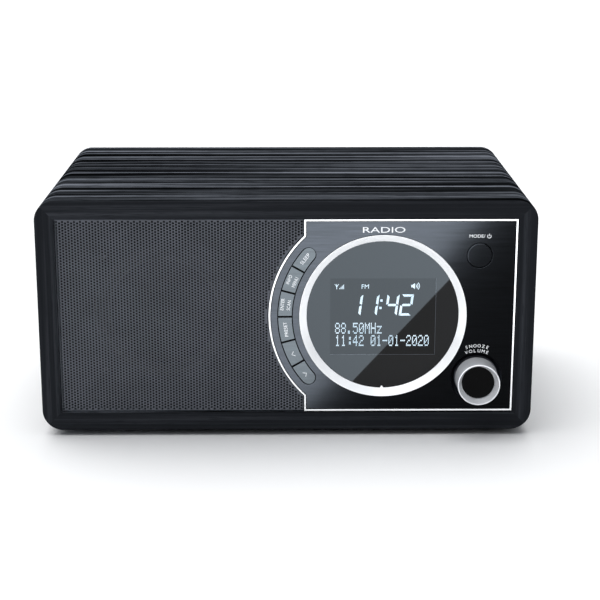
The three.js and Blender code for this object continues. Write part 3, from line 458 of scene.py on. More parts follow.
def finish(bm, name, material, body, slot=None, replaces=(), angle=35.0):
    bmesh.ops.recalc_face_normals(bm, faces=bm.faces)
    mesh = bpy.data.meshes.new(name)
    bm.to_mesh(mesh)
    bm.free()
    mesh.polygons.foreach_set("use_smooth", [True] * len(mesh.polygons))
    mesh.set_sharp_from_angle(angle=math.radians(angle))
    piece = bpy.data.objects.new(name, mesh)
    bpy.context.scene.collection.objects.link(piece)
    piece.data.materials.append(material)
    # keeps flat faces flat beside their rounded edges
    flats = piece.modifiers.new("flats", "WEIGHTED_NORMAL")
    flats.mode = "FACE_AREA"
    flats.weight = 100
    flats.keep_sharp = True
    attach(piece, body)
    if replaces:
        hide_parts(*replaces)
    return piece


def bmeshOf(mesh):
    bm = bmesh.new()
    bm.from_mesh(mesh)
    bmesh.ops.remove_doubles(bm, verts=bm.verts, dist=1e-7)
    return bm


def joined(shapes):  # several bmeshes as one
    whole = bmesh.new()
    for shape in shapes:
        mesh = bpy.data.meshes.new("part")
        shape.to_mesh(mesh)
        shape.free()
        whole.from_mesh(mesh)
        bpy.data.meshes.remove(mesh)
    return whole


# cabinet and feet

cabinet = {
    "corner": 11 * mm,
    "wall": 10 * mm,
    "insideCorner": 0.8 * mm,
    "frontEdge": 1.1 * mm,
    "innerEdge": 0.25 * mm,
    "backEdge": 0.6 * mm,
}


# Writes the grain map: round the box on its outside, and along each strip of the front and back borders.
def mapGrain(bm):
    layer = bm.loops.layers.uv.new("grain")
    middleZ = (cabinetLow.z + cabinetHigh.z) / 2
    halfWide = (cabinetHigh.x - cabinetLow.x) / 2
    halfHigh = (cabinetHigh.z - cabinetLow.z) / 2
    for face in bm.faces:
        middle = face.calc_center_median()
        onFace = abs(face.normal.y) > 0.7
        upright = halfWide - abs(middle.x) < halfHigh - abs(middle.z - middleZ)
        for loop in face.loops:
            x, y, z = loop.vert.co
            drop = math.copysign(cabinetHigh.z - z, x)
            if not onFace:
                loop[layer].uv = (x + drop, y)
            elif upright:
                loop[layer].uv = (z + 0.61 * math.copysign(1, middle.x), x)
            else:
                loop[layer].uv = (x, z + 0.37)


# One section swept round the box: back edge, outside, front edge, front face, inside.
def buildCabinet():
    low, high, wall = cabinetLow, cabinetHigh, cabinet["wall"]

    def outline(inset):
        corner = max(cabinet["corner"] - inset, cabinet["insideCorner"])
        return roundedBox(low.x + inset, high.x - inset, low.z + inset, high.z - inset, corner, 16)

    frontEdge = roundedEdge(cabinet["frontEdge"], low.y, 1, 4)
    insideEdge = [(wall - inset, y) for inset, y in roundedEdge(cabinet["innerEdge"], low.y, 1, 3)]
    backEdge = roundedEdge(cabinet["backEdge"], high.y, -1, 3)
    backInside = [(wall - inset, y) for inset, y in roundedEdge(cabinet["innerEdge"], high.y, -1, 3)]
    section = frontEdge + insideEdge[::-1] + backInside + backEdge[::-1] + frontEdge[:1]
    stations = [(outline(inset), y) for inset, y in section]
    shape = bmesh.new()
    drawLoop(shape, addLoop(shape, *stations[0]), stations[1:])
    bmesh.ops.remove_doubles(shape, verts=shape.verts, dist=1e-6)
    bmesh.ops.recalc_face_normals(shape, faces=shape.faces)
    mapGrain(shape)
    return finish(shape, "cabinet", blackAsh, "radio", "cabinet_wrap", ["cabinet_shell"])


buildCabinet()

footShape = {"edge": 0.8 * mm, "dish": 0.4 * mm, "rim": 1.6 * mm}


def buildFoot(nodeName):
    low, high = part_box(nodeName)
    radius = (high.x - low.x) / 2
    x, y = (low.x + high.x) / 2, (low.y + high.y) / 2
    edge, dish, rim = footShape["edge"], footShape["dish"], footShape["rim"]
    profile = softened(
        [
            (0, low.z + dish, 0),
            (radius - rim - dish, low.z + dish, 0.15 * mm),
            (radius - rim, low.z, 0.15 * mm),
            (radius, low.z, edge),
            (radius - 0.3 * mm, high.z, 0.2 * mm),
            (0, high.z, 0),
        ],
        closed=False,
    )
    shape = spinShape(profile, 0, 0, 48, closed=False)
    bmesh.ops.rotate(shape, verts=shape.verts, matrix=Matrix.Rotation(math.pi / 2, 3, "X"))
    bmesh.ops.translate(shape, verts=shape.verts, vec=(x, y, 0))
    return finish(shape, nodeName + "_pad", finishes["footRubber"], "radio", "foot_rubber", [nodeName])


for name in ("foot_front_left", "foot_front_right", "foot_rear_left", "foot_rear_right"):
    buildFoot(name)
print("cabinet and feet built")

# grille: perforated sheet

grille = {
    "hole": 0.65 * mm,  # radius
    "columnPitch": 1.55 * mm,
    "rowPitch": 1.546 * mm,  # alternate columns are half a pitch lower
    "margin": 0.35 * mm,  # least metal between a hole and the sheet's edge
    "sheet": 0.6 * mm,
    "bend": 0.5 * mm,
    "sides": 7,
}


# Cuts one shape from another with the Manifold solver.
def cutShape(shape, cutter):
    objects = []
    for label, bm in (("blank", shape), ("cutter", cutter)):
        bmesh.ops.recalc_face_normals(bm, faces=bm.faces)
        mesh = bpy.data.meshes.new(label)
        bm.to_mesh(mesh)
        bm.free()
        made = bpy.data.objects.new(label, mesh)
        bpy.context.scene.collection.objects.link(made)
        objects.append(made)
    blank, tool = objects
    modifier = blank.modifiers.new("cut", "BOOLEAN")
    modifier.operation = "DIFFERENCE"
    modifier.object = tool
    modifier.solver = "MANIFOLD"
    evaluated = blank.evaluated_get(bpy.context.evaluated_depsgraph_get())
    result = bmeshOf(bpy.data.meshes.new_from_object(evaluated))
    for made in objects:
        bpy.data.objects.remove(made)
    return result


def holeCutter():  # one punch for each hole, column by column
    low, high = grilleLow, grilleHigh
    reach = grille["margin"] + grille["hole"]
    clear = bulgeRadius + seatGap + reach
    columns = int((high.x - low.x - 2 * reach) / grille["columnPitch"]) + 1
    rows = int((high.z - low.z - 2 * reach) / grille["rowPitch"]) + 1
    firstX = (low.x + high.x - (columns - 1) * grille["columnPitch"]) / 2
    firstZ = (low.z + high.z - (rows - 1) * grille["rowPitch"]) / 2
    hole = grille["hole"]
    punch = {"cap_ends": True, "segments": grille["sides"], "radius1": hole, "radius2": hole}
    turn = Matrix.Rotation(math.pi / 2, 4, "X")
    punched = []
    for index in range(columns):
        column = bmesh.new()
        x = firstX + index * grille["columnPitch"]
        lift = (index % 2) * grille["rowPitch"] / 2
        for row in range(rows - index % 2):
            z = firstZ + row * grille["rowPitch"] + lift
            if math.hypot(x - ringX, z - ringZ) > clear:
                move = Matrix.Translation((x, low.y + grille["sheet"] / 2, z))
                bmesh.ops.create_cone(column, depth=3 * grille["sheet"], matrix=move @ turn, **punch)
        punched.append(column)
    return joined(punched)


def buildGrille():  # a punched sheet with its edge folded back
    blank = plateShape([grilleOutline], grilleLow.y, grilleHigh.y, grille["bend"], 0, 4)
    sheet = grille["sheet"]
    hollow = plateShape([lambda inset: grilleOutline(sheet)], grilleLow.y + sheet, grilleHigh.y + sheet)
    shape = cutShape(cutShape(blank, hollow), holeCutter())
    return finish(shape, "perforated_grille", grillePaint, "radio", "grille", ["speaker_grille"], 30)


grillePiece = buildGrille()
print("grille built:", len(grillePiece.data.polygons), "faces")

# fascia, trim, ring, window

fascia = {
    "trimWidth": 0.95 * mm,
    "trimEdge": 0.15 * mm,
    "edge": 0.12 * mm,
    "thickness": 2.2 * mm,
    "firstKey": 135.0,
    "keyPitch": 15.0,
    "keyInner": 47.75 * mm,
    "keyOuter": 55.3 * mm,
    "keyGap": 0.25 * mm,
    "buttonGap": 0.4 * mm,
    "dish": 13.6 * mm,
    "shaftHole": 4.7 * mm,  # radius
    "dishDepth": 2.02 * mm,  # clear of the knob when it is pressed in
    "dishSlope": 1.75 * mm,
}
keyNodes = ["key_sleep", "key_menu", "key_enter", "key_preset", "key_up", "key_down"]


def buildTrim():
    width = fascia["trimWidth"]
    contours = [fasciaOutline, lambda inset: fasciaOutline(width - inset)]
    shape = plateShape(contours, trimLow.y, trimHigh.y, fascia["trimEdge"])
    return finish(shape, "trim_line", trimMetal, "radio", "trim", ["fascia_trim"])


def keyBand(inset):  # the slot that the keys sit in
    inner = fascia["keyInner"] - fascia["keyGap"]
    outer = fascia["keyOuter"] + fascia["keyGap"]
    start = math.radians(fascia["firstKey"])
    end = start + math.radians(fascia["keyPitch"]) * len(keyNodes)
    return bandOutline(inner, outer, start, end, True, True, 0, -inset, 64)


def buildFascia():
    edge = fascia["trimWidth"] + seatGap
    ringRadius = (ringHigh.x - ringLow.x) / 2
    modeRadius = (modeHigh.x - modeLow.x) / 2
    contours = [
        lambda inset: fasciaOutline(edge + inset),
        lambda inset: circle(ringX, ringZ, ringRadius + seatGap / 2 + inset, 128),
        keyBand,
        lambda inset: circle(modeX, modeZ, modeRadius + fascia["buttonGap"] + inset, 64),
        lambda inset: circle(knobX, knobZ, fascia["dish"] + inset, 80),
    ]
    shape = plateShape(contours, fasciaFront, fasciaFront + fascia["thickness"], fascia["edge"])
    return finish(shape, "fascia", fasciaMetal, "radio", "fascia", ["fascia_plate"])


def buildDish():  # the shallow hollow behind the knob
    front, depth, radius = fasciaFront, fascia["dishDepth"], fascia["dish"] - 0.05 * mm
    hole = fascia["shaftHole"]
    back = front + fascia["thickness"]
    profile = softened(
        [
            (radius, front + 0.05 * mm, 0),
            (radius - fascia["dishSlope"], front + depth, 0.8 * mm),
            (hole, front + depth, 0),
            (hole, back, 0),
            (radius, back, 0),
        ]
    )
    return finish(spinShape(profile, knobX, knobZ, 80), "knob_dish", dishPaintedLight, "radio", "fascia")


ring = {
    "width": 3.86 * mm,
    "lip": 0.2 * mm,  # inner edge, above the window
    "pointer": 1.25 * mm,  # half its width
    "pointerFoot": 0.35 * mm,
    "pointerTip": 1.3 * mm,
    "pointerRise": 0.55 * mm,
}


def buildRing():
    outer = (ringHigh.x - ringLow.x) / 2
    inner = outer - ring["width"]
    front, back = ringLow.y, ringHigh.y
    profile = softened(
        [
            (outer, front, 0.18 * mm),
            (outer, back, 0.1 * mm),
            (inner, back, 0.05 * mm),
            (inner, back - ring["lip"], 0.08 * mm),
        ]
    )
    shape = spinShape(profile, ringX, ringZ, 160)
    pointer = bmesh.new()  # small mark at the foot of the ring's slope
    tip = [
        (ringX - ring["pointer"], ringZ - inner - ring["pointerFoot"]),
        (ringX + ring["pointer"], ringZ - inner - ring["pointerFoot"]),
        (ringX, ringZ - inner + ring["pointerTip"]),
    ]
    fronts = addLoop(pointer, tip, back - ring["pointerRise"])
    backs = addLoop(pointer, tip, back - 0.02 * mm)
    bmesh.ops.bridge_loops(pointer, edges=fronts + backs)
    bmesh.ops.triangle_fill(pointer, edges=fronts, normal=(0, -1, 0))
    bmesh.ops.triangle_fill(pointer, edges=backs, normal=(0, 1, 0))
    return finish(joined([shape, pointer]), "bezel_ring", ringMetal, "radio", "ring", ["display_ring"])


windowEdge = 0.15 * mm


def buildWindow():
    radius = (windowHigh.x - windowLow.x) / 2
    outline = lambda inset: circle(ringX, ringZ, radius - inset, 96)
    shape = plateShape([outline], windowLow.y, windowHigh.y, windowEdge, windowEdge)
    return finish(shape, "window", smokedWindow, "radio", "window", ["display_window"])


buildTrim()
buildFascia()
buildDish()
buildRing()
buildWindow()
print("fascia built")

# lettering


def textShape(text, size, thickness):  # flat letters in X and Z, facing the front, centred on the origin
    curve = bpy.data.curves.new("letters", "FONT")
    curve.body = text
    curve.size = size
    curve.extrude = thickness / 2
    curve.resolution_u = 4
    made = bpy.data.objects.new("letters", curve)
    bpy.context.scene.collection.objects.link(made)
    evaluated = made.evaluated_get(bpy.context.evaluated_depsgraph_get())
    shape = bmeshOf(bpy.data.meshes.new_from_object(evaluated))
    bpy.data.objects.remove(made)
    xs = [v.co.x for v in shape.verts]
    ys = [v.co.y for v in shape.verts]
    middle = Vector(((min(xs) + max(xs)) / 2, (min(ys) + max(ys)) / 2, 0))
    bmesh.ops.translate(shape, verts=shape.verts, vec=-middle)
    bmesh.ops.rotate(shape, verts=shape.verts, matrix=Matrix.Rotation(math.pi / 2, 3, "X"))
    return shape, max(xs) - min(xs), max(ys) - min(ys)


def setText(text, height, width, thickness):  # a text scaled to a height and a width
    shape, wide, high = textShape(text, 10 * mm, thickness)
    bmesh.ops.scale(shape, verts=shape.verts, vec=(width / wide, 1, height / high))
    return shape


def moveShape(shape, x, y, z, turn=0.0):  # turn is anticlockwise as seen from the front
    bmesh.ops.rotate(shape, verts=shape.verts, matrix=Matrix.Rotation(-turn, 3, "Y"))
    bmesh.ops.translate(shape, verts=shape.verts, vec=(x, y, z))
    return shape


# Letters one by one along an arc, reading clockwise, with their tops outwards.
def arcText(text, centre, radius, middle, height, pitch, thickness, y):
    shapes = []
    for index, letter in enumerate(text):
        angle = middle - (index - (len(text) - 1) / 2) * pitch / radius
        shape, wide, high = textShape(letter, 10 * mm, thickness)
        factor = height / high
        bmesh.ops.scale(shape, verts=shape.verts, vec=(factor, 1, factor))
        x, z = centre[0] + radius * math.cos(angle), centre[1] + radius * math.sin(angle)
        shapes.append(moveShape(shape, x, y, z, angle - math.pi / 2))
    return joined(shapes)


def strokeShape(points, width, thickness):  # a bent line of even width, for small symbols
    left, right = [], []
    for i, (x, z) in enumerate(points):
        before = Vector(points[max(i - 1, 0)])
        after = Vector(points[min(i + 1, len(points) - 1)])
        along = (after - before).normalized()
        side = Vector((-along.y, along.x)) * width / 2
        left.append((x + side.x, z + side.y))
        right.append((x - side.x, z - side.y))
    outline = left + right[::-1]
    return plateShape([lambda inset: outline], -thickness / 2, thickness / 2)


lettering = {"thickness": 0.03 * mm}

# keys and mode button

keyShape = {
    "split": 0.6 * mm,  # between two keys
    "clear": 0.12 * mm,
    "edge": 0.25 * mm,
    "thickness": 2.2 * mm,
    "stem": 1.5 * mm,  # radius
    "stemOverlap": 0.1 * mm,
    "stemEdge": 0.2 * mm,
}
legends = {
    "key_sleep": [("SLEEP", 51.55, 142.6, 1.9, 6.6)],
    "key_menu": [("INFO", 53.3, 157.6, 1.75, 5.0), ("MENU", 49.9, 157.9, 1.75, 5.6)],
    "key_enter": [("ENTER", 53.3, 172.6, 1.75, 6.4), ("SCAN", 49.9, 172.8, 1.75, 5.4)],
    "key_preset": [("PRESET", 51.55, 187.6, 1.8, 8.0)],
}  # text, radius in mm, angle in degrees, height and width in mm
chevron = {"half": 1.3 * mm, "rise": 0.75 * mm, "line": 0.32 * mm, "nudge": {"key_up": 1.0, "key_down": 0.2}}


def stemShape(x, z, back):  # the peg behind a key or button
    front = fasciaFront + keyShape["thickness"] - keyShape["stemOverlap"]
    outline = lambda inset: circle(x, z, keyShape["stem"] - inset, 20)
    return plateShape([outline], front, back, 0, keyShape["stemEdge"])


def ringPlace(radius, turn):  # X and Z at a radius and angle about the ring's centre
    return ringX + radius * math.cos(turn), ringZ + radius * math.sin(turn)


def buildKey(index):
    name = keyNodes[index]
    start = math.radians(fascia["firstKey"] + fascia["keyPitch"] * index)
    end = start + math.radians(fascia["keyPitch"])
    first, last = index == 0, index == len(keyNodes) - 1
    inner, outer = fascia["keyInner"], fascia["keyOuter"]

    def contour(inset):
        drawnIn = keyShape["clear"] + inset
        return bandOutline(inner, outer, start, end, first, last, keyShape["split"], drawnIn, 12)

    cap = plateShape([contour], fasciaFront, fasciaFront + keyShape["thickness"], keyShape["edge"])
    middle = (start + end) / 2
    radius = (inner + outer) / 2
    stem = stemShape(*ringPlace(radius, middle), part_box(name)[1].y)
    finish(joined([cap, stem]), name + "_cap", keyMetal, name, "keys", [name])
    thickness = lettering["thickness"]
    y = fasciaFront - thickness / 2
    marks = []
    for text, r, angle, height, width in legends.get(name, []):
        turn = math.radians(angle)
        x, z = ringPlace(r * mm, turn)
        shape = setText(text, height * mm, width * mm, thickness)
        marks.append(moveShape(shape, x, y, z, turn - math.pi / 2))
    if name in chevron["nudge"]:
        rise = chevron["rise"] if name == "key_up" else -chevron["rise"]
        turn = middle + math.radians(chevron["nudge"][name])
        points = [(-chevron["half"], -rise), (0, rise), (chevron["half"], -rise)]
        shape = strokeShape(points, chevron["line"], thickness)
        x, z = ringPlace(radius, turn)
        marks.append(moveShape(shape, x, y, z, turn - math.pi / 2))
    finish(joined(marks), name + "_legend", finishes["legendInk"], name, "trim")


for index in range(len(keyNodes)):
    buildKey(index)


def buildModeButton():
    radius = (modeHigh.x - modeLow.x) / 2
    outline = lambda inset: circle(modeX, modeZ, radius - inset, 64)
    cap = plateShape([outline], fasciaFront, fasciaFront + keyShape["thickness"], keyShape["edge"])
    stem = stemShape(modeX, modeZ, modeHigh.y)
    finish(joined([cap, stem]), "mode_cap", fasciaMetal, "mode_button", "keys", ["mode_button"])


buildModeButton()

fasciaPrint = {
    "mode": ("MODE/", 1.7 * mm, 8.2 * mm),  # text, height and width
    "modeAt": (-1.6 * mm, 10.4 * mm),  # from the button's centre
    "powerAt": (4.6 * mm, -0.1 * mm),
    "power": (0.95 * mm, 125, 415),  # radius, and where its arc starts and ends in degrees
    "bar": 1.25 * mm,
    "line": 0.28 * mm,
    "arcs": [("SNOOZE", 17.6 * mm), ("VOLUME", 14.9 * mm)],  # radius about the knob
    "arcHeight": 1.7 * mm,
    "arcPitch": 2.25 * mm,
    "name": ("RADIO", 3.0 * mm, 22 * mm),
    "nameDrop": 5.6 * mm,
}


def buildFasciaPrint():
    thickness = lettering["thickness"]
    y = fasciaFront - thickness / 2
    line = fasciaPrint["line"]
    acrossMode, upMode = fasciaPrint["modeAt"]
    acrossPower, upPower = fasciaPrint["powerAt"]
    z = modeZ + upMode
    shapes = [moveShape(setText(*fasciaPrint["mode"], thickness), modeX + acrossMode, y, z)]
    radius, start, end = fasciaPrint["power"]
    power = strokeShape(arc(0, 0, radius, math.radians(start), math.radians(end), 20), line, thickness)
    shapes.append(moveShape(power, modeX + acrossPower, y, z + upPower))
    bar = strokeShape([(0, 0), (0, fasciaPrint["bar"])], line, thickness)
    shapes.append(moveShape(bar, modeX + acrossPower, y, z))
    for word, radius in fasciaPrint["arcs"]:
        sizes = (fasciaPrint["arcHeight"], fasciaPrint["arcPitch"], thickness)
        shapes.append(arcText(word, (knobX, knobZ), radius, math.pi / 2, *sizes, y))
    name = setText(*fasciaPrint["name"], thickness)
    shapes.append(moveShape(name, ringX, y, trimHigh.z - fasciaPrint["nameDrop"]))
    finish(joined(shapes), "fascia_print", finishes["legendInk"], "radio", "trim")


buildFasciaPrint()
print("keys and lettering built")

# volume knob: a turned cup with a black disc in it

knob = {
    "face": 8.9 * mm,  # radius
    "faceDepth": 4.0 * mm,
    "step": 1.3 * mm,  # seat of the black disc
    "lip": 0.55 * mm,
    "lipRound": 0.35 * mm,
    "wall": 1.6 * mm,
    "web": 2.0 * mm,
    "hub": 4.8 * mm,
    "hubLength": 6 * mm,
    "bore": 3.1 * mm,
}
knobDisc = {"flat": 1.2 * mm, "crown": 0.25 * mm, "shoulder": 0.12 * mm}


def buildKnob():
    radius = (knobHigh.x - knobLow.x) / 2
    front, back = knobLow.y, knobHigh.y
    face = front + knob["faceDepth"]
    web = face + knob["step"]
    webBack = web + knob["web"]
    hubBack = webBack + knob["hubLength"]
    profile = softened(
        [
            (0, web, 0),
            (knob["face"], web, 0),
            (knob["face"], face, 0.1 * mm),
            (radius - knob["lip"], front, 0.15 * mm),
            (radius, front + knob["lipRound"], 0.3 * mm),
            (radius, back, 0.3 * mm),
            (radius - knob["wall"], back, 0.1 * mm),
            (radius - knob["wall"], webBack, 0),
            (knob["hub"], webBack, 0),
            (knob["hub"], hubBack, 0.1 * mm),
            (knob["bore"], hubBack, 0),
            (knob["bore"], webBack, 0),
            (0, webBack, 0),
        ],
        closed=False,
    )
    body = spinShape(profile, knobX, knobZ, 128, closed=False)
    finish(body, "knob_body", knobMetal, "volume_knob", "knob", ["volume_knob"])
    low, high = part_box("knob_cap")
    discRadius = (high.x - low.x) / 2
    discProfile = softened(
        [
            (0, low.y + knobDisc["crown"], 0),
            (discRadius - knobDisc["flat"], low.y + knobDisc["shoulder"], 0.8 * mm),
            (discRadius, low.y, 0.2 * mm),
            (discRadius, high.y, 0.1 * mm),
            (0, high.y, 0),
        ],
        closed=False,
    )
    disc = spinShape(discProfile, knobX, knobZ, 96, closed=False)
    finish(disc, "knob_face", glossBlack, "volume_knob", "knob_face", ["knob_cap"])


buildKnob()
print("knob built")

# display: every place in it is measured from the ring's centre

display = {
    "left": -27.7 * mm,  # visible field
    "right": 28.1 * mm,
    "bottom": -21.9 * mm,
    "top": 19.9 * mm,
    "frame": 0.28 * mm,
    "thickness": 0.05 * mm,
    "sunk": 0.02 * mm,
    "lines": [
        ("88.50MHz", -25.1 * mm, -10.25 * mm, 3.16 * mm),
        ("11:42 01-01-2020", -25.0 * mm, -17.1 * mm, 3.14 * mm),
    ],  # text, its left and bottom, and the pitch of its characters
    "lineHeight": 6.1 * mm,
    "dot": (0.74, 0.88),  # share of a dot's cell that is lit
    "panelDepth": 4 * mm,
    "tail": (18 * mm, 3 * mm, -2.5 * mm),  # width, height and middle of the connector behind
}
clock = {
    "digits": [("1", -13.0 * mm), ("1", -4.4 * mm), ("4", 1.0 * mm), ("2", 8.5 * mm)],
    "bottom": -0.3 * mm,
    "height": 11.6 * mm,
    "width": 6.4 * mm,
    "stroke": 1.25 * mm,
    "slant": 0.13,
    "colon": -2.3 * mm,
    "colonDots": (3.6 * mm, 7.6 * mm),
}
symbols = {
    "bottom": 14.2 * mm,
    "bars": (-22.9 * mm, 0.68 * mm, 0.36 * mm),  # first bar, pitch and width
    "barHeights": (0.6 * mm, 0.62 * mm),  # the first, and what each adds
    "mast": -24.3 * mm,
    "mastHeight": 2.7 * mm,
    "fork": (1.0 * mm, 1.3 * mm),  # half its width, and where it meets the mast
    "line": 0.32 * mm,
    "band": ("FM", 2.3 * mm, 3.8 * mm),
    "bandAt": (-9.3 * mm, 1.4 * mm),
    "speaker": [(0, 0.9), (0.7, 0.9), (1.9, 0), (1.9, 3.2), (0.7, 2.3), (0, 2.3)],  # outline in mm
    "speakerAt": 14.9 * mm,
    "waves": (1.1 * mm, 1.9 * mm, 2.7 * mm),  # radii
    "wavesAt": (16.5 * mm, 1.6 * mm),
    "waveLine": 0.35 * mm,
    "waveTurn": 0.75,
}
glyphs = {
    "0": ".###. #...# #..## #.#.# ##..# #...# .###.",
    "1": "..#.. .##.. ..#.. ..#.. ..#.. ..#.. .###.",
    "2": ".###. #...# ....# ..##. .#... #.... #####",
    "4": "...#. ..##. .#.#. #..#. ##### ...#. ...#.",
    "5": "##### #.... ####. ....# ....# #...# .###.",
    "8": ".###. #...# #...# .###. #...# #...# .###.",
    "M": "#...# ##.## #.#.# #.#.# #...# #...# #...#",
    "H": "#...# #...# #...# ##### #...# #...# #...#",
    "z": "..... ..... ##### ...#. ..#.. .#... #####",
    "-": "..... ..... ..... ##### ..... ..... .....",
    ":": "..... ..##. ..##. ..... ..##. ..##. .....",
    ".": "..... ..... ..... ..... ..... .##.. .##..",
}
digitBars = {"1": "bc", "2": "abged", "4": "fgbc"}
displayFace = windowLow.y - display["thickness"]
displayMiddle = displayFace + display["thickness"] / 2


def dotLine(text, left, bottom, pitch):  # one line of dot-matrix characters
    shape = bmesh.new()
    dot = display["lineHeight"] / 7
    wide = pitch / 6
    shareX, shareZ = display["dot"]
    size = Matrix.Diagonal((wide * shareX, display["thickness"], dot * shareZ, 1))
    for place, letter in enumerate(text):
        for down, row in enumerate(glyphs.get(letter, "").split()):
            for across, cell in enumerate(row):
                if cell != "#":
                    continue
                x = left + place * pitch + (across + 0.5) * wide
                z = bottom + (6 - down + 0.5) * dot
                bmesh.ops.create_cube(shape, size=1, matrix=Matrix.Translation((x, displayMiddle, z)) @ size)
    return shape


def levelBar(x1, x2, z, push, s):  # a level stroke with mitred ends; push is which side it lies on
    if push:
        return [(x1, z), (x2, z), (x2 - s, z + push * s), (x1 + s, z + push * s)]
    q = s / 2
    return [(x1 + q, z), (x1 + s, z + q), (x2 - s, z + q), (x2 - q, z), (x2 - s, z - q), (x1 + s, z - q)]


def uprightBar(x, z1, z2, push, s, top):
    lowCut, highCut = (s / 2, s) if top else (s, s / 2)
    return [(x, z1), (x + push * s, z1 + lowCut), (x + push * s, z2 - highCut), (x, z2)]


def segmentDigit(digit, left, bottom):  # a slanted seven-segment figure
    stroke, height = clock["stroke"], clock["height"]
    width = stroke if digit == "1" else clock["width"]
    half = height / 2
    gap = stroke * 0.12
    bars = {
        "a": levelBar(gap, width - gap, height, -1, stroke),
        "g": levelBar(gap, width - gap, half, 0, stroke),
        "d": levelBar(gap, width - gap, 0, 1, stroke),
        "f": uprightBar(0, half + gap, height - gap, 1, stroke, True),
        "b": uprightBar(width, half + gap, height - gap, -1, stroke, True),
        "e": uprightBar(0, gap, half - gap, 1, stroke, False),
        "c": uprightBar(width, gap, half - gap, -1, stroke, False),
    }
    shapes = []
    for letter in digitBars[digit]:
        slanted = [(left + x + z * clock["slant"], bottom + z) for x, z in bars[letter]]
        shapes.append(litPlate(slanted))
    return joined(shapes)


def litPlate(outline):  # a thin plate on the window's face
    return plateShape([lambda inset: outline], displayFace, displayFace + display["thickness"])


def litBox(x1, x2, z1, z2):
    return litPlate([(x1, z1), (x2, z1), (x2, z2), (x1, z2)])


def litStroke(points, width, x, z):
    return moveShape(strokeShape(points, width, display["thickness"]), x, displayMiddle, z)


def clockShapes():
    bottom, stroke = ringZ + clock["bottom"], clock["stroke"]
    shapes = [segmentDigit(digit, ringX + x, bottom) for digit, x in clock["digits"]]
    for height in clock["colonDots"]:
        x = ringX + clock["colon"] + height * clock["slant"]
        shapes.append(litBox(x, x + stroke, bottom + height, bottom + height + stroke))
    return shapes


def symbolShapes():
    shapes = []
    bottom, line, mast = ringZ + symbols["bottom"], symbols["line"], ringX + symbols["mast"]
    first, pitch, wide = symbols["bars"]
    least, more = symbols["barHeights"]
    for step in range(4):
        x = ringX + first + step * pitch
        shapes.append(litBox(x, x + wide, bottom, bottom + least + more * step))
    high = symbols["mastHeight"]
    reach, meets = symbols["fork"]
    shapes.append(litStroke([(0, 0), (0, high)], line, mast, bottom))
    shapes.append(litStroke([(-reach, high), (0, meets), (reach, high)], line, mast, bottom))
    x, z = symbols["bandAt"]
    band = setText(*symbols["band"], display["thickness"])
    shapes.append(moveShape(band, ringX + x, displayMiddle, bottom + z))
    speakerX = ringX + symbols["speakerAt"]
    shapes.append(litPlate([(speakerX + x * mm, bottom + z * mm) for x, z in symbols["speaker"]]))
    x, z = symbols["wavesAt"]
    turn = symbols["waveTurn"]
    for radius in symbols["waves"]:
        wave = arc(0, 0, radius, -turn, turn, 8)
        shapes.append(litStroke(wave, symbols["waveLine"], ringX + x, bottom + z))
    return shapes


def buildPanel():  # the display module behind the window, with its connector
    outline = lambda inset: roundedBox(lcdLow.x, lcdHigh.x, lcdLow.z, lcdHigh.z, 0.6 * mm, 3)
    depth = display["panelDepth"]
    body = plateShape([outline], lcdLow.y, lcdLow.y + depth)
    wide, high, middle = display["tail"]
    front, back = lcdLow.y + depth - 0.1 * mm, lcdHigh.y
    tail = bmesh.new()
    move = Matrix.Translation((ringX, (front + back) / 2, ringZ + middle))
    bmesh.ops.create_cube(tail, size=1, matrix=move @ Matrix.Diagonal((wide, back - front, high, 1)))
    glass = finishes["displayGlass"]
    finish(joined([body, tail]), "display_panel", glass, "radio", "display", ["lcd_module"])


def buildDisplay():
    left, right = ringX + display["left"], ringX + display["right"]
    bottom, top = ringZ + display["bottom"], ringZ + display["top"]
    rim, sunk = display["frame"], display["sunk"]
    outline = lambda inset: roundedBox(left + inset, right - inset, bottom + inset, top - inset, 0.3 * mm, 3)
    pane = plateShape([outline], displayFace + sunk, windowLow.y + sunk)
    finish(pane, "display_pane", displayPane, "radio", "display")
    # painted highlight: light lines only on the right and bottom edges of the display field, where its edges
    # catch the light
    edges = [litBox(right - rim, right, bottom, top), litBox(left, right - rim, bottom, bottom + rim)]
    finish(joined(edges), "display_edge_highlight", paneEdgePaintedHighlight, "radio", "display")
    figures = [dotLine(text, ringX + x, ringZ + z, pitch) for text, x, z, pitch in display["lines"]]
    figures += clockShapes() + symbolShapes()
    finish(joined(figures), "display_figures", litWhite, "radio", "display")


buildPanel()
buildDisplay()
print("display built")

# back of the cabinet and aerial: the frame's shapes with their edges rounded


def roundedCopy(nodeName, width, material, body, slot):
    shape = bmesh.new()
    shape.from_mesh(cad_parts[nodeName].data)
    bmesh.ops.remove_doubles(shape, verts=shape.verts, dist=1e-6)
    flat = {"angle_limit": math.radians(1), "use_dissolve_boundaries": False}
    bmesh.ops.dissolve_limit(shape, verts=shape.verts, edges=shape.edges, **flat)
    bmesh.ops.recalc_face_normals(shape, faces=shape.faces)
    corners = [e for e in shape.edges if e.is_manifold and e.calc_face_angle() > math.radians(40)]
    rounding = {"affect": "EDGES", "segments": 2, "profile": 0.5, "material": -1, "clamp_overlap": True}
    bmesh.ops.bevel(shape, geom=corners, offset=width, **rounding)
    return finish(shape, nodeName + "_part", material, body, slot, [nodeName])


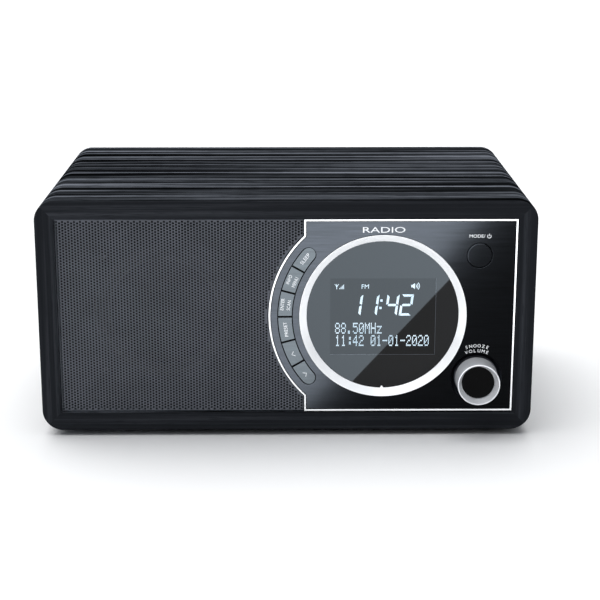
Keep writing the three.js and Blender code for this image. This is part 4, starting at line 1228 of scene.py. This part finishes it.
rearPlastic, blackPlastic = finishes["rearPlastic"], finishes["blackPlastic"]
chromeTube, screwSteel = finishes["chromeTube"], finishes["screwSteel"]
rounded = [
    ("rear_cover", 0.35 * mm, rearPlastic, "radio", "rear_plastic"),
    ("dc_jack", 0.15 * mm, blackPlastic, "radio", "black_plastic"),
    ("headphone_jack", 0.15 * mm, blackPlastic, "radio", "black_plastic"),
    ("aux_jack", 0.15 * mm, blackPlastic, "radio", "black_plastic"),
    ("aerial_base", 0.25 * mm, rearPlastic, "radio", "black_plastic"),
    ("aerial_rest", 0.2 * mm, rearPlastic, "radio", "black_plastic"),
    ("aerial_swivel", 0.15 * mm, chromeTube, "aerial_swivel", "aerial_chrome"),
    ("aerial_tube_1", 0.12 * mm, chromeTube, "aerial_tube_1", "aerial_chrome"),
    ("aerial_tube_2", 0.1 * mm, chromeTube, "aerial_tube_2", "aerial_chrome"),
    ("aerial_tube_3", 0.08 * mm, chromeTube, "aerial_tube_3", "aerial_chrome"),
    ("aerial_tip", 0.2 * mm, chromeTube, "aerial_tip", "aerial_chrome"),
] + [(f"cover_screw_{i}", 0.12 * mm, screwSteel, "radio", "screws") for i in range(1, 5)]
for entry in rounded:
    roundedCopy(*entry)
print("back and aerial built")

# finishes on the frame's own pieces

carried = {
    "front_baffle": "boardPaint",
    "speaker_basket": "screwSteel",
    "speaker_surround": "surroundRubber",
    "speaker_cone": "conePaper",
    "dust_cap": "conePaper",
    "speaker_magnet": "ferrite",
    "control_board": "solderMask",
    "main_board": "solderMask",
    "tuner_module": "tinPlate",
    "encoder_body": "zincSteel",
    "encoder_plunger": "blackPlastic",
    "encoder_shaft": "zincSteel",
    "ribbon_cable": "ribbonPvc",
    "speaker_lead": "leadPvc",
}
carried.update({f"tact_switch_{i}": "blackPlastic" for i in range(1, 8)})
carried.update({f"speaker_screw_{i}": "screwSteel" for i in range(1, 5)})
given = {nodeName: finishes[key] for nodeName, key in carried.items()}
given.update({entry[0]: entry[2] for entry in rounded})
for nodeName, material in given.items():
    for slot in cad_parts[nodeName].material_slots:
        slot.material = material
print("frame's own pieces finished:", len(given))

# floor and light

paper = {"clouds": 300 * mm, "colours": [(0.3, "#f4f4f4"), (0.7, "#f7f7f7")], "size": 20}


def makeFloor():  # seamless paper: pale and matt
    material, tree, shader = newMaterial("backdropPaper", Roughness=0.9, Specular_IOR_Level=0.1)
    where = addNode(tree, "ShaderNodeTexCoord").outputs["Object"]
    clouds = {"Scale": 1 / paper["clouds"], "Detail": 2}
    cloudy = addNode(tree, "ShaderNodeTexNoise", clouds, {"Vector": where}).outputs[0]
    tone = addNode(tree, "ShaderNodeValToRGB", links={0: cloudy}, stops=paper["colours"])
    tree.links.new(tone.outputs[0], shader.inputs["Base Color"])
    return material


def buildFloor():
    bm = bmesh.new()
    bmesh.ops.create_grid(bm, x_segments=1, y_segments=1, size=paper["size"])
    mesh = bpy.data.meshes.new("floor")
    bm.to_mesh(mesh)
    bm.free()
    floor = bpy.data.objects.new("floor", mesh)
    floor.data.materials.append(makeFloor())
    bpy.context.scene.collection.objects.link(floor)


buildFloor()


def addLight(name, kind, where, target, strength, **settings):
    data = bpy.data.lights.new(name, kind)
    data.energy = strength
    for key, value in settings.items():
        setattr(data, key, value)
    light = bpy.data.objects.new(name, data)
    light.location = where
    light.rotation_euler = (Vector(target) - Vector(where)).to_track_quat("-Z", "Y").to_euler()
    light.visible_camera = False
    bpy.context.scene.collection.objects.link(light)
    return light


def lightOnly(light, pieces):  # the light falls on these pieces and no others
    receivers = bpy.data.collections.new(light.name)
    for piece in pieces:
        receivers.objects.link(bpy.data.objects[piece])
    light.light_linking.receiver_collection = receivers


suns = {
    "overheadSky": {"from": (-0.6, 0.3, 2.0), "strength": 2.1, "spread": 75},
    # for the paper alone, from behind, so that the front stands in its own shadow
    "paperSun": {"from": (-0.1, 0.9, 2.0), "strength": 0.9, "spread": 60, "on": ["floor"]},
}
lookAt = (0, 0, 60 * mm)


def addSun(name):
    sun = suns[name]
    light = addLight(name, "SUN", sun["from"], lookAt, sun["strength"], angle=math.radians(sun["spread"]))
    if "on" in sun:
        lightOnly(light, sun["on"])


addSun("overheadSky")

# Cards in front, each for its own pieces: a clear diagonal in the window and a soft glow on the
# brushed metal, both seen only as reflections, and an even light on the ring, knob and lettering.
cards = {
    "windowCard": {
        "middle": (22.8 * mm, 80.8 * mm),
        "depth": -120 * mm,
        "size": (220 * mm, 110 * mm),
        "turn": 48,
        "power": 0.56,
        "fade": 0.65,  # how bright its lower end is
        "tint": (0.72, 0.87, 1.0),
        "on": ["window", "display_pane", "display_edge_highlight"],
    },
    "glowCard": {
        "middle": (21.8 * mm, 113.5 * mm),
        "depth": -120 * mm,
        "size": (260 * mm, 130 * mm),
        "turn": 49,
        "power": 4.3,
        "fade": 0.85,
        "tint": (0.9, 0.95, 1.0),
        "on": ["fascia", "mode_cap"] + [key + "_cap" for key in keyNodes],
    },
    "rimCard": {
        "middle": (50 * mm, 120 * mm),
        "depth": -350 * mm,
        "size": (700 * mm, 300 * mm),
        "turn": 0,
        "power": 1.2,
        "fade": 1.0,
        "tint": (0.96, 0.98, 1.0),
        "on": ["bezel_ring", "trim_line", "knob_body", "knob_dish", "fascia_print"],
    },
}
cards["rimCard"]["on"] += [key + "_legend" for key in keyNodes]


def addCard(name, card):
    x, z = card["middle"]
    y = card["depth"]
    wide, high = card["size"]
    shape = {"shape": "RECTANGLE", "size": wide, "size_y": high, "color": card["tint"], "use_nodes": True}
    light = addLight(name, "AREA", (x, y, z), (x, 0, z), card["power"], **shape)
    tree = light.data.node_tree
    across = addNode(tree, "ShaderNodeNewGeometry").outputs["Parametric"]
    along = addNode(tree, "ShaderNodeSeparateXYZ", links={0: across}).outputs["X"]
    faded = addNode(tree, "ShaderNodeMapRange", {"To Min": card["fade"], "To Max": 1.0}, {"Value": along})
    tree.links.new(faded.outputs[0], tree.nodes["Emission"].inputs["Strength"])
    light.rotation_euler.rotate_axis("Z", math.radians(card["turn"]))
    light.visible_diffuse = name == "rimCard"
    lightOnly(light, card["on"])


for name, card in cards.items():
    addCard(name, card)
addSun("paperSun")

skyColours = [(0.0, "#3c3e41"), (0.9, "#c2c5c9")]  # level with the eye, and overhead


def buildWorld():  # white behind the object, and a grey studio dome for light and reflections
    world = bpy.data.worlds.new("studio")
    world.use_nodes = True
    tree = world.node_tree
    path = addNode(tree, "ShaderNodeLightPath").outputs["Is Camera Ray"]
    direction = addNode(tree, "ShaderNodeTexCoord").outputs["Generated"]
    height = addNode(tree, "ShaderNodeSeparateXYZ", links={0: direction}).outputs["Z"]
    dome = addNode(tree, "ShaderNodeValToRGB", links={0: height}, stops=skyColours).outputs[0]
    white = {7: linear("#ffffff")}
    seen = addNode(tree, "ShaderNodeMix", white, {0: path, 6: dome}, data_type="RGBA").outputs[2]
    sky = tree.nodes["Background"]
    tree.links.new(seen, sky.inputs["Color"])
    sky.inputs["Strength"].default_value = 1.0
    bpy.context.scene.world = world


buildWorld()
bpy.context.scene.view_settings.view_transform = "Standard"

print("scene ready")
